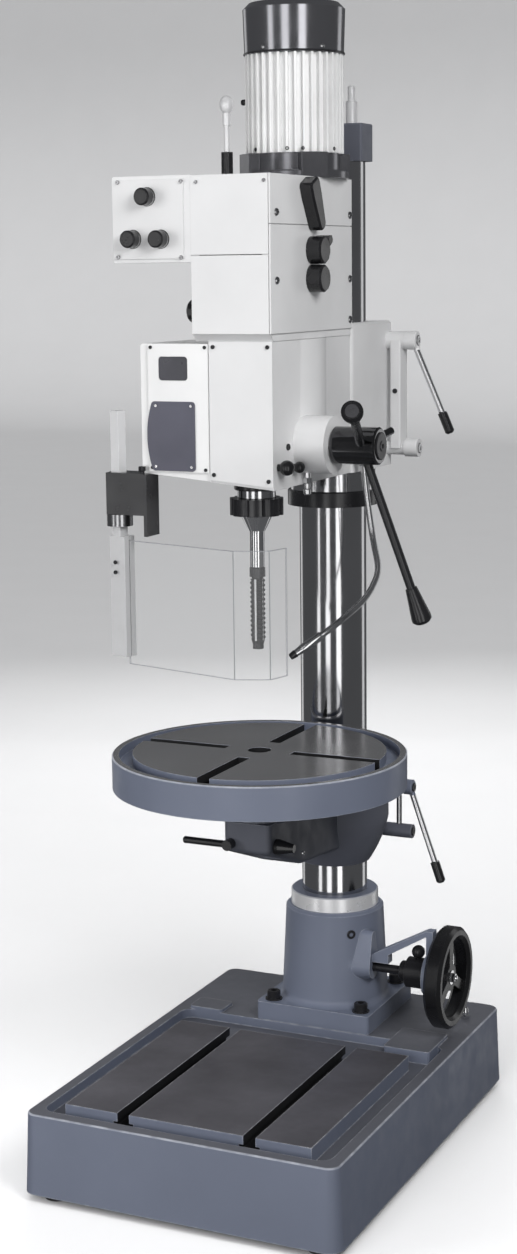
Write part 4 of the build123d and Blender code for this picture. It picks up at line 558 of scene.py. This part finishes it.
NODE_LOOKS = {
    # Wide bands on the base, foot, arm and table carry their painted edge highlight
    "base_casting": coat("base_casting", SLATE, BASE_LAYERS, wear_and_highlight_band=4.0 * MM),
    "column_foot": coat("column_foot", SLATE, FOOT_LAYERS, wear_and_highlight_band=3.0 * MM),
    "column_cap": coat("column_cap", ARM_SLATE, CAP_LAYERS),
    "table_arm": coat("table_arm", ARM_SLATE, wear_and_highlight_band=2.5 * MM),
    "head_casting": coat("head_casting", WHITE, HEAD_LAYERS),
    "gearbox_housing": coat("gearbox_housing", WHITE, GEARBOX_LAYERS),
    "head_clamp_lever": lever_look("head_clamp_lever", WHITE, HEAD_HUB_LOW, HEAD_GRIP_TOP),
    "table_clamp_lever": lever_look("table_clamp_lever", SLATE, TABLE_HUB_LOW, TABLE_GRIP_TOP),
    "quill": LOOKS["column_steel"],
    "handwheel": PLASTIC_LOOK,
    "fan_cover": coat("fan_cover", FAN_GREY),
    "motor_flange": coat("motor_flange", GUNMETAL),
    "motor_housing": coat("motor_housing", PLATE_WHITE),
    "feed_hub": coat("feed_hub", DARK_CHROME, edge=0.6 * MM, clear=0.6),
    "tap_holder": CHROME_LOOK,
    "pull_rod": SATIN_LOOK,
    "display_box": coat("display_box", PLATE_WHITE),
    "display_window": coat("display_window", WINDOW_BLACK),
    "coolant_pipe": BRIGHT_LOOK,
}


def smoothing_group(limit):
    """Welds a mesh and shades it smooth except at edges sharper than the limit."""
    group = bpy.data.node_groups.new("smooth_by_angle", "GeometryNodeTree")
    for way in ("INPUT", "OUTPUT"):
        group.interface.new_socket("Geometry", in_out=way, socket_type="NodeSocketGeometry")
    entry = group.nodes.new("NodeGroupInput")
    leave = group.nodes.new("NodeGroupOutput")
    weld = add_node(group, "GeometryNodeMergeByDistance", distance=NODE_WELD)
    smooth = add_node(group, "GeometryNodeSetShadeSmooth", domain="FACE")
    angle = group.nodes.new("GeometryNodeInputMeshEdgeAngle")
    flatter = add_node(group, "FunctionNodeCompare", data_type="FLOAT", operation="LESS_THAN")
    flatter.inputs[1].default_value = limit
    sharp = add_node(group, "GeometryNodeSetShadeSmooth", domain="EDGE")
    group.links.new(entry.outputs[0], weld.inputs["Geometry"])
    group.links.new(weld.outputs["Geometry"], smooth.inputs["Geometry"])
    group.links.new(smooth.outputs["Geometry"], sharp.inputs["Geometry"])
    group.links.new(angle.outputs["Unsigned Angle"], flatter.inputs[0])
    group.links.new(flatter.outputs["Result"], sharp.inputs["Shade Smooth"])
    group.links.new(sharp.outputs["Geometry"], leave.inputs[0])
    return group


SMOOTH = smoothing_group(SMOOTH_ANGLE)


def dress_nodes():
    """Every CAD node gets its slot's material, or its own, and smooth shading."""
    for name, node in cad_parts.items():
        slot = node.material_slots[0].material.name.split(".")[0]
        node.material_slots[0].material = NODE_LOOKS.get(name, LOOKS[slot])
        node.modifiers.new("smooth", "NODES").node_group = SMOOTH


dress_nodes()


# Makers of small pieces
def mm(*values):
    """A place given in millimetres."""
    return Vector(values) * MM


def lathe(shape, profile, at, axis, count=ROUND):
    """Turns a profile of (radius, height) round an axis. A third value makes that ring a
    polygon with so many sides."""
    axis = Vector(axis).normalized()
    side = axis.orthogonal().normalized()
    other = axis.cross(side)
    rows = []
    for radius, height, *sides in profile:
        middle = Vector(at) + axis * height
        if radius == 0:
            rows.append([shape.verts.new(middle)] * count)
            continue
        row = []
        for index in range(count):
            turn = 2 * math.pi * index / count
            reach = radius
            if sides:
                part = 2 * math.pi / sides[0]
                reach = radius * math.cos(part / 2) / math.cos(turn % part - part / 2)
            outward = math.cos(turn) * side + math.sin(turn) * other
            row.append(shape.verts.new(middle + reach * outward))
        rows.append(row)
    for before, after in zip(rows, rows[1:]):
        for index in range(count):
            corners = (before[index], before[index - 1], after[index - 1], after[index])
            different = list(dict.fromkeys(corners))
            if len(different) > 2:
                shape.faces.new(different)


def in_metres(profile):
    """A profile given in millimetres."""
    return [(radius * MM, height * MM, *sides) for radius, height, *sides in profile]


def cap_screw(shape, at, axis, radius, height, socket=0.5):
    """A socket screw's head, its hexagon sunk to half its height."""
    edge = 0.12 * radius
    lathe(shape, [(0, -0.2 * height), (radius, -0.2 * height), (radius, height - edge),
                  (radius - edge, height), (socket * radius, height, 6),
                  (socket * radius, 0.5 * height, 6), (0, 0.5 * height)], at, axis, SMALL_ROUND)


def dome_screw(shape, at, axis, radius, height):
    """A round-headed screw with a small drive recess."""
    lathe(shape, [(0, -0.3 * height), (radius, -0.3 * height), (radius, 0.15 * height),
                  (0.88 * radius, 0.55 * height), (0.62 * radius, 0.85 * height),
                  (0.34 * radius, height), (0.30 * radius, 0.98 * height, 6),
                  (0.26 * radius, 0.5 * height, 6), (0, 0.5 * height)], at, axis, SMALL_ROUND)


def washer(shape, at, axis, radius, bore, height):
    """A flat ring with its outer edge broken."""
    edge = 0.25 * height
    lathe(shape, [(bore, -edge), (radius, -edge), (radius, height - edge),
                  (radius - edge, height), (bore, height), (bore, -edge)], at, axis)


def piece(name, body, look, build):
    """A piece made by a function that fills a mesh. It rides on a body and takes the material it
    is given."""
    shape = bmesh.new()
    build(shape)
    bmesh.ops.remove_doubles(shape, verts=shape.verts, dist=PIECE_WELD)
    bmesh.ops.recalc_face_normals(shape, faces=shape.faces)
    mesh = bpy.data.meshes.new(name)
    shape.to_mesh(mesh)
    shape.free()
    mesh.materials.append(look)
    thing = bpy.data.objects.new(name, mesh)
    bpy.context.collection.objects.link(thing)
    thing.modifiers.new("smooth", "NODES").node_group = SMOOTH
    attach(thing, body)
    return thing


def screws(maker, spots, axis, *sizes):
    """A mesh function that sets the same screw on every spot."""
    def build(shape):
        for spot in spots:
            maker(shape, mm(*spot), axis, *(size * MM for size in sizes))
    return build


def motor_ring(maker, degrees, radius, height, *sizes):
    """A mesh function that sets screws round the motor's axis, looking outwards."""
    def build(shape):
        for turn in map(math.radians, degrees):
            way = Vector((math.cos(turn), math.sin(turn), 0))
            at = Vector((0, MOTOR_Y * MM, height * MM)) + way * radius * MM
            maker(shape, at, way, *(size * MM for size in sizes))
    return build


def turned(profile, at, axis, count=ROUND):
    """A mesh function that turns one profile, all in millimetres."""
    def build(shape):
        lathe(shape, in_metres(profile), mm(*at), axis, count)
    return build


def in_plane(y, spots):
    """Spots of (x, z) on a face that looks to the front."""
    return [(x, y, z) for x, z in spots]


# Faces of the solids that small pieces sit on, in millimetres
WHEEL_HUB = 32.0
HUB_END = 202.0
FOOT_FLANGE_TOP = 189.0
case_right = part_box("gearbox_covers")[1][0] / MM
case_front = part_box("gearbox_covers")[0][1] / MM
control_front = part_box("control_box")[0][1] / MM
plate_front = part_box("display_box")[0][1] / MM
panel_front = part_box("display_panel")[0][1] / MM
cover_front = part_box("lower_front_cover")[0][1] / MM
carrier_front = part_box("guard_frame")[0][1] / MM
wheel_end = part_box("handwheel")[0][0] / MM + WHEEL_HUB

# Screws on the head's covers as places and head sizes, and bezels round the buttons
SIDE_SCREWS = ((-123.6, 1613), (-123.6, 1506), (179.4, 1613), (179.4, 1506), (179.4, 1437))
FRONT_SCREWS = ((-59.7, 1662), (59.7, 1662))
CONTROL_SCREWS = ((-200, 1665), (-85.5, 1664), (-201.5, 1546), (-87, 1544))
BUTTONS = ((-147.0, 1641.0), (-174.0, 1574.0), (-123.0, 1573.5))
PLATE_SCREWS = ((-154, 1400), (-55, 1400), (-154, 1203), (-56, 1201))
PANEL_SCREWS = ((-145, 1305), (-80.5, 1305), (-146, 1205), (-80.5, 1205))
COVER_SCREWS = ((-40, 1194), (58, 1186), (-39, 1401), (58, 1401))
SIDE_HEAD = (6.4, 4.4)
FRONT_HEAD = (3.0, 1.6)
CONTROL_HEAD = (3.4, 2.2)
PLATE_HEAD = (2.9, 1.8)
PANEL_HEAD = (2.5, 1.6)
COVER_HEAD = (3.4, 2.2)
BEZEL = (15.2, 14.4, 1.2)
piece("side_screws", "head", STEEL_LOOK,
      screws(dome_screw, [(case_right, y, z) for y, z in SIDE_SCREWS], RIGHT, *SIDE_HEAD))
piece("front_screws", "head", STEEL_LOOK,
      screws(cap_screw, in_plane(case_front, FRONT_SCREWS), FRONT, *FRONT_HEAD))
piece("control_screws", "head", STEEL_LOOK,
      screws(cap_screw, in_plane(control_front, CONTROL_SCREWS), FRONT, *CONTROL_HEAD))
piece("button_bezels", "head", PLASTIC_LOOK,
      screws(washer, in_plane(control_front, BUTTONS), FRONT, *BEZEL))
piece("plate_screws", "head", OXIDE_LOOK,
      screws(cap_screw, in_plane(plate_front, PLATE_SCREWS), FRONT, *PLATE_HEAD))
piece("panel_screws", "head", BRIGHT_LOOK,
      screws(cap_screw, in_plane(panel_front, PANEL_SCREWS), FRONT, *PANEL_HEAD))
piece("cover_screws", "head", OXIDE_LOOK,
      screws(cap_screw, in_plane(cover_front, COVER_SCREWS), FRONT, *COVER_HEAD))

# Motor: screws as degrees round it, their ring, and head radius and height
FAN_SCREWS = [-104.0 + 72.0 * index for index in range(5)]
MOTOR_SCREWS = (-118.0, -75.0, -57.0, -14.0, 60.0, 150.0)
FAN_RING_R, FAN_RING_Z = 83.6, 1884
MOTOR_RING_R, MOTOR_RING_Z = 81.6, 1720
FAN_HEAD = (4.2, 2.6)
MOTOR_HEAD = (3.2, 2.0)
FAN_BEAD_AT = (0, MOTOR_Y, 1875.2)
GLAND_AT = (-80, MOTOR_Y, 1803)
FAN_BEAD = [(82.6, 0), (84.6, 0.4), (85.4, 2), (84.6, 3.6), (82.6, 4), (82.6, 0)]
GLAND = [(0, 0), (7, 0, 6), (7, 9, 6), (5, 10), (5, 16), (4.2, 18), (3, 18), (0, 17)]
piece("fan_screws", "head", BRIGHT_LOOK,
      motor_ring(dome_screw, FAN_SCREWS, FAN_RING_R, FAN_RING_Z, *FAN_HEAD))
piece("fan_bead", "head", PAINT_LOOK,
      turned(FAN_BEAD, FAN_BEAD_AT, UP, BEAD_ROUND))
piece("motor_screws", "head", OXIDE_LOOK,
      motor_ring(cap_screw, MOTOR_SCREWS, MOTOR_RING_R, MOTOR_RING_Z, *MOTOR_HEAD))
piece("motor_gland", "head", PLASTIC_LOOK,
      turned(GLAND, GLAND_AT, LEFT, SMALL_ROUND))

# Pointer beside the upper speed knob: outline from the knob's axis, and its two faces
POINTER = [(23.1, -7), (33, -7), (38, -4), (38, 4), (33, 7), (23.1, 7)]
POINTER_AT = mm(82, SPEED_KNOB_Y, SPEED_KNOB_Z)
POINTER_TURN = math.radians(33.0)
POINTER_FACES = (-11.8, 13.0)


def speed_pointer(shape):
    """A fixed pointer beside the rim of the upper speed knob."""
    out = Vector((0, math.cos(POINTER_TURN), math.sin(POINTER_TURN)))
    across = RIGHT.cross(out)
    low, high = [[shape.verts.new(POINTER_AT + (out * u + across * v + RIGHT * x) * MM)
                  for u, v in POINTER] for x in POINTER_FACES]
    shape.faces.new(low)
    shape.faces.new(high)
    for index in range(len(POINTER)):
        shape.faces.new((low[index - 1], low[index], high[index], high[index - 1]))


piece("speed_pointer", "head", PLASTIC_LOOK, speed_pointer)

# Right side and underside of the head
KEY_PLUG = [(0, -1), (5.6, -1), (5.6, 2), (4.8, 3.2), (3.2, 3.4), (2.6, 2, 6), (0, 2)]
OIL_COCK = [(0, -4), (5.5, -4), (5.5, 6), (7.5, 7, 6), (7.5, 15, 6), (5.2, 16), (4.6, 24),
            (6.2, 26), (6.2, 33), (4.5, 35), (2.5, 35), (0, 34)]
KEY_PLUG_AT = (66, -77.2, 1237.5)
OIL_COCK_AT = (73, -14, 1188)
QUILL_SEAL_AT = (0, SPINDLE_Y, 1164)
BAR_SCREW = (90, 343.4, 1305)
BAR_HEAD = (4.5, 2.0)
QUILL_SEAL = [(32.8, 0), (35.5, 0), (37.5, 1.5), (37.5, 12), (32.8, 12), (32.8, 0)]
piece("key_plug", "head", PLASTIC_LOOK,
      turned(KEY_PLUG, KEY_PLUG_AT, RIGHT, SMALL_ROUND))
piece("oil_cock", "head", CHROME_LOOK,
      turned(OIL_COCK, OIL_COCK_AT, DOWN, SMALL_ROUND))
piece("quill_seal", "head", PLASTIC_LOOK,
      turned(QUILL_SEAL, QUILL_SEAL_AT, UP, SEAL_ROUND))
piece("bar_screws", "head", OXIDE_LOOK,
      screws(cap_screw, [BAR_SCREW], FRONT, *BAR_HEAD))

# Screws of the clamps and the arm
HEAD_CLAMP_SCREW = (130, HEAD_CLAMP_Y, 1202)
HEAD_LEVER_SCREW = (126.8, HEAD_CLAMP_Y, 1395)
TABLE_LEVER_SCREW = (133.3, TABLE_CLAMP_Y, 579)
TABLE_CLAMP_SCREW = (132, TABLE_CLAMP_Y, 495)
ARM_SCREW = (43.5, 22, 524)
HEAD_CLAMP_HEAD = (9.5, 2.6)
TABLE_CLAMP_HEAD = (8.0, 2.4)
ARM_HEAD = (4.6, 3.4)
piece("head_clamp_screw", "head", BRIGHT_LOOK,
      screws(cap_screw, [HEAD_CLAMP_SCREW], RIGHT, *HEAD_CLAMP_HEAD))
piece("head_lever_screw", "head_clamp", BRIGHT_LOOK,
      screws(cap_screw, [HEAD_LEVER_SCREW], RIGHT, *HEAD_CLAMP_HEAD))
piece("table_lever_screw", "table_clamp", OXIDE_LOOK,
      screws(cap_screw, [TABLE_LEVER_SCREW], RIGHT, *TABLE_CLAMP_HEAD))
piece("table_clamp_screw", "table_arm", OXIDE_LOOK,
      screws(cap_screw, [TABLE_CLAMP_SCREW], RIGHT, *TABLE_CLAMP_HEAD))
piece("arm_screw", "table_arm", BRIGHT_LOOK,
      screws(dome_screw, [ARM_SCREW], RIGHT, *ARM_HEAD))

# Foot, deck and handwheel
FOOT_SIDES = (-87, 87)
FOOT_BOLTS = [(x, COLUMN_Y + y, FOOT_FLANGE_TOP) for x in FOOT_SIDES for y in FOOT_SIDES]
WASHER_R, WASHER_BORE, WASHER_HEIGHT = 16.0, 9.0, 2.5
FOOT_HEAD = (12.5, 14.0)
FOOT_PLUG_AT = (61.4, 197.2, 326)
DECK_NIPPLE_AT = (242.5, 308, 155)
FOOT_PLUG = [(0, -3), (8, -3), (8, 0.8), (6.8, 1.6), (4.4, 1.6, 6), (4.2, -2, 6), (0, -2)]
FOOT_PLUG_WAY = Vector((0.663, -0.749, 0.02))
DECK_NIPPLE = [(0, -1), (9, -1, 6), (9, 6, 6), (5.5, 7), (5.5, 12), (6.6, 12.5), (5.0, 16),
               (6.4, 16.5), (4.6, 21), (3, 21), (2.6, 17), (0, 17)]
WHEEL_NUT = [(0, -1), (13, -1), (13, 1.5), (9.5, 1.6, 6), (9.5, 7, 6), (7.5, 8.5), (5, 8.8),
             (4.5, 11), (0, 12)]
piece("foot_washers", "stand", PAINT_LOOK,
      screws(washer, FOOT_BOLTS, UP, WASHER_R, WASHER_BORE, WASHER_HEIGHT))
piece("foot_bolts", "stand", OXIDE_LOOK,
      screws(cap_screw, [(x, y, z + WASHER_HEIGHT) for x, y, z in FOOT_BOLTS], UP,
             *FOOT_HEAD))
piece("foot_plug", "stand", OXIDE_LOOK,
      turned(FOOT_PLUG, FOOT_PLUG_AT, FOOT_PLUG_WAY, SMALL_ROUND))
piece("deck_nipple", "stand", CHROME_LOOK,
      turned(DECK_NIPPLE, DECK_NIPPLE_AT, UP, SMALL_ROUND))
piece("wheel_nut", "handwheel", CHROME_LOOK,
      turned(WHEEL_NUT, (wheel_end, WHEEL_Y, WHEEL_Z), RIGHT, SMALL_ROUND))

# Guard: knob, screws, and painted shade lines at the shield's folds, with place and way from the
# post
BRACKET_KNOB = [(0, -2), (4, -2), (4, 3), (6.5, 4, 6), (6.5, 10, 6), (5.5, 11.5), (0, 12)]
BRACKET_KNOB_AT = (-171, -138, 1193)
CARRIER_SCREWS = ((-224, 1042), (-224, 1025))
CARRIER_OUT = 1.4
CARRIER_HEAD = (3.4, 2.4)
CARRIER_WAY = Vector((0.27, -0.963, 0))
GUARD_AXIS = Vector((GUARD_X, GUARD_Y, 0.0))
GUARD_TURN = math.radians(-15.6)
GUARD_ALONG = Vector((math.cos(GUARD_TURN), math.sin(GUARD_TURN), 0.0))
GUARD_IN = UP.cross(GUARD_ALONG)
SHIELD_FOLDS = (((252.0, 0.0), (0.32, -0.947)), ((298.0, 35.0), (0.85, -0.53)))
FOLD_LINE = [(0, 0), (0.9, 0.2), (0.9, 209.6), (0, 209.8)]
FOLD_LINE_LOW = 868.6
FOLD_LINE_OUT = 0.6
piece("bracket_knob", "head", OXIDE_LOOK,
      turned(BRACKET_KNOB, BRACKET_KNOB_AT, UP, SMALL_ROUND))
piece("carrier_screws", "guard", OXIDE_LOOK,
      screws(dome_screw, in_plane(carrier_front + CARRIER_OUT, CARRIER_SCREWS), CARRIER_WAY,
             *CARRIER_HEAD))


def shield_fold_shade(shape):
    """Thin grey strips along the folds of the shield: painted shade lines."""
    for (along, inward), (way_along, way_in) in SHIELD_FOLDS:
        fold = (GUARD_AXIS + GUARD_ALONG * (along + FOLD_LINE_OUT * way_along)
                + GUARD_IN * (inward + FOLD_LINE_OUT * way_in))
        lathe(shape, in_metres(FOLD_LINE), fold * MM + UP * FOLD_LINE_LOW * MM, UP, FOLD_LINE_ROUND)


piece("shield_fold_shade", "guard", FOLD_SHADE_LOOK, shield_fold_shade)

# Feed hub: arms as angle round the hub and lean, in degrees
FEED_ROOT = Vector((168.0, FEED_Y, FEED_Z))
FEED_ARMS = ((281.0, 16.0), (165.0, 19.0))
GRIP_END = 316.0
GRIP_CAP = [(0, -1), (10.5, -1), (10.5, 0.6), (9.6, 1.2), (4.0, 1.2), (3.4, 0.5), (0, 0.5)]
FEED_CAP = [(0, -2), (23, -2), (23, 1.6), (21.5, 2.6), (9, 2.6), (8, 4), (6, 4.2), (4.6, 4.2, 6),
            (4.4, 1.5, 6), (0, 1.5)]


def grip_caps(shape):
    """Flat caps in the ends of the feed grips."""
    for angle, lean in FEED_ARMS:
        turn, slant = math.radians(angle), math.radians(lean)
        way = Vector((math.sin(slant), math.cos(slant) * math.cos(turn),
                      math.cos(slant) * math.sin(turn)))
        lathe(shape, in_metres(GRIP_CAP), (FEED_ROOT + way * GRIP_END) * MM, way)


piece("grip_caps", "feed", CAP_LOOK, grip_caps)
piece("feed_cap", "feed", OXIDE_LOOK,
      turned(FEED_CAP, (HUB_END, FEED_Y, FEED_Z), RIGHT, FEED_CAP_ROUND))

# Coolant pipe
PIPE_END = Vector((66.0, COLUMN_Y - 291.0, 894.0))
PIPE_WAY = Vector((-42.0, -35.0, -34.0)).normalized()
PIPE_TOP = Vector((84.0, COLUMN_Y - 70.0, 1214.0))
PIPE_FALL = Vector((15.0, -10.0, -90.0)).normalized()
PIPE_SLEEVE_BACK = 40.0
PIPE_SLEEVE = [(5.6, 0), (7.4, 0.6), (7.8, 2), (7.8, 40), (7.4, 41), (5.6, 41), (5.6, 0)]
PIPE_TIP = [(0, 13), (5.0, 13), (6.6, 13.4), (6.8, 14.5), (5.4, 24.2), (4.2, 24.8), (3.4, 24.6),
            (3.2, 20), (0, 20)]
PIPE_UNION = [(5.6, 12), (10.5, 12.5, 6), (10.5, 23, 6), (8.0, 24), (7.6, 30), (5.6, 31),
              (5.6, 12)]
piece("pipe_sleeve", "head", BRIGHT_LOOK,
      turned(PIPE_SLEEVE, PIPE_END - PIPE_WAY * PIPE_SLEEVE_BACK, PIPE_WAY))
piece("pipe_tip", "head", PLASTIC_LOOK,
      turned(PIPE_TIP, PIPE_END, PIPE_WAY))
piece("pipe_union", "head", BRIGHT_LOOK,
      turned(PIPE_UNION, PIPE_TOP, PIPE_FALL, SMALL_ROUND))

# Tap, in millimetres: thread, flutes, and a shank of (height, radius)
TAP_POINTS = 96
TAP_R = 13.4
TAP_LOW = 896.0
PILOT_R = 9.2
PILOT_HEIGHT = 8.0
THREAD_TOP = 1014.0
THREAD_PITCH = 8.0
THREAD_DEPTH = 3.4
THREAD_LEAD = 14.0
PITCH_STEPS = 4
FLUTES = 4
FLUTE_PART = 2 * math.pi / FLUTES
FLUTE_HALF = 5.2
FLUTE_FLOOR = 8.0
FLUTE_CURVE = 0.2
SHANK = [(THREAD_TOP + 0.5, 9.8), (1018.0, 9.8), (1018.4, 13.3), (1033.0, 13.3), (1034.0, 12.4),
         (1036.0, 12.4)]


def thread_radius(turn, z):
    """The tap's radius at a turn and a height: thread, lead, pilot and flutes."""
    wave = abs((z / THREAD_PITCH + turn / (2 * math.pi)) % 1.0 - 0.5) * 2
    run = max(0.0, min(1.0, (z - TAP_LOW - PILOT_HEIGHT) / THREAD_LEAD))
    radius = min(TAP_R - THREAD_DEPTH * wave, PILOT_R + (TAP_R - PILOT_R) * run)
    across = abs((turn + FLUTE_PART / 2) % FLUTE_PART - FLUTE_PART / 2) * TAP_R
    if across < FLUTE_HALF:
        radius = min(radius, FLUTE_FLOOR + FLUTE_CURVE * across * across)
    return radius


def threaded_tap(shape):
    """A machine tap: shank, collar, and a thread cut by straight flutes that runs out to a
    lead."""
    turns = [2 * math.pi * index / TAP_POINTS for index in range(TAP_POINTS)]
    step = THREAD_PITCH / PITCH_STEPS
    levels = [TAP_LOW + index * step for index in range(int((THREAD_TOP - TAP_LOW) / step) + 1)]
    rings = [(z, [thread_radius(turn, z) for turn in turns]) for z in levels]
    rings += [(z, [radius] * TAP_POINTS) for z, radius in SHANK]
    rows = [[shape.verts.new(mm(radius * math.cos(turn), radius * math.sin(turn) + SPINDLE_Y, z))
             for turn, radius in zip(turns, radii)] for z, radii in rings]
    for before, after in zip(rows, rows[1:]):
        for index in range(TAP_POINTS):
            shape.faces.new((before[index - 1], before[index], after[index], after[index - 1]))
    shape.faces.new(rows[0])
    shape.faces.new(rows[-1])


tap = piece("threaded_tap", "spindle", TOOL_LOOK, threaded_tap)
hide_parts("tap")


# Stage, light and camera
def make_stage():
    """A pale floor that curves up into a backdrop."""
    shape = bmesh.new()
    half = FLOOR_SIZE / 2
    bend = BACKDROP_Y - BACKDROP_CURVE
    outline = [(-half, 0.0), (bend, 0.0)]
    for step in range(1, BACKDROP_STEPS + 1):
        turn = step / BACKDROP_STEPS * math.pi / 2
        outline.append((bend + BACKDROP_CURVE * math.sin(turn),
                        BACKDROP_CURVE * (1 - math.cos(turn))))
    outline.append((BACKDROP_Y, BACKDROP_HEIGHT))
    rows = [[shape.verts.new((x, y, z)) for x in (-half, half)] for y, z in outline]
    for before, after in zip(rows, rows[1:]):
        shape.faces.new((before[0], before[1], after[1], after[0]))
    mesh = bpy.data.meshes.new("floor")
    shape.to_mesh(mesh)
    shape.free()
    mesh.shade_smooth()
    floor = bpy.data.objects.new("floor", mesh)
    bpy.context.collection.objects.link(floor)
    paper, tree, shader = new_material("floor_paper")
    tone = mixed(tree, noise_at(tree, FLOOR_NOISE_SCALE), *FLOOR_TONES)
    tree.links.new(tone, shader.inputs["Base Color"])
    shader.inputs["Roughness"].default_value = FLOOR_ROUGHNESS
    shader.inputs["Specular IOR Level"].default_value = FLOOR_SPECULAR
    mesh.materials.append(paper)
    floor.visible_glossy = False
    floor.visible_diffuse = False
    return floor


def area_light(name, at, aim, size, power):
    """A soft lamp at a place, aimed at a point."""
    lamp = bpy.data.lights.new(name, "AREA")
    lamp.shape = "RECTANGLE"
    lamp.size, lamp.size_y = size
    lamp.energy = power
    light = bpy.data.objects.new(name, lamp)
    light.location = at
    light.rotation_euler = (Vector(aim) - Vector(at)).to_track_quat("-Z", "Y").to_euler()
    light.visible_camera = False
    bpy.context.collection.objects.link(light)
    return light


def strip_light(name, azimuth, distance, size, power):
    """An upright white panel round the column, seen in bright metal and gloss alone."""
    turn = math.radians(azimuth)
    aim = Vector((0.0, COLUMN_Y * MM, STRIP_Z))
    at = Vector((distance * math.sin(turn), COLUMN_Y * MM - distance * math.cos(turn), STRIP_Z))
    area_light(name, at, aim, size, power).visible_diffuse = False


def floor_light(floor):
    """A soft sun that lights the floor alone."""
    lit = bpy.data.collections.new("stage_light")
    lit.objects.link(floor)
    sun = bpy.data.lights.new("stage_sun", "SUN")
    sun.angle, sun.energy = SUN_ANGLE, SUN_STRENGTH
    lamp = bpy.data.objects.new("stage_sun", sun)
    lamp.rotation_euler = SUN_WAY.to_track_quat("-Z", "Y").to_euler()
    lamp.visible_glossy = False
    lamp.light_linking.receiver_collection = lit
    bpy.context.collection.objects.link(lamp)


def light_scene(floor):
    """Soft lamps for the colours, panels for the gloss, and a sun of its own for the floor."""
    for name, settings in LAMPS.items():
        area_light(name, *settings).visible_glossy = False
    for name, settings in STRIPS.items():
        strip_light(name, *settings)
    floor_light(floor)
    world = bpy.data.worlds.new("studio")
    world.use_nodes = True
    background = world.node_tree.nodes["Background"]
    background.inputs["Color"].default_value = WORLD_COLOUR
    background.inputs["Strength"].default_value = WORLD_STRENGTH
    bpy.context.scene.world = world
    bpy.context.scene.view_settings.view_transform = "Standard"


def make_camera():
    """A camera where the photograph was taken from, rolled a little."""
    lens = bpy.data.cameras.new("camera")
    lens.lens = CAMERA_LENS
    lens.sensor_width = CAMERA_SENSOR
    camera = bpy.data.objects.new("camera", lens)
    ahead = (CAMERA_AIM - CAMERA_AT).normalized()
    right = ahead.cross(UP).normalized()
    up = right.cross(ahead)
    level_right = math.cos(CAMERA_ROLL) * right + math.sin(CAMERA_ROLL) * up
    level_up = math.cos(CAMERA_ROLL) * up - math.sin(CAMERA_ROLL) * right
    turn = Matrix((level_right, level_up, -ahead)).transposed()
    camera.matrix_world = Matrix.Translation(CAMERA_AT) @ turn.to_4x4()
    bpy.context.collection.objects.link(camera)
    bpy.context.scene.camera = camera


light_scene(make_stage())
make_camera()
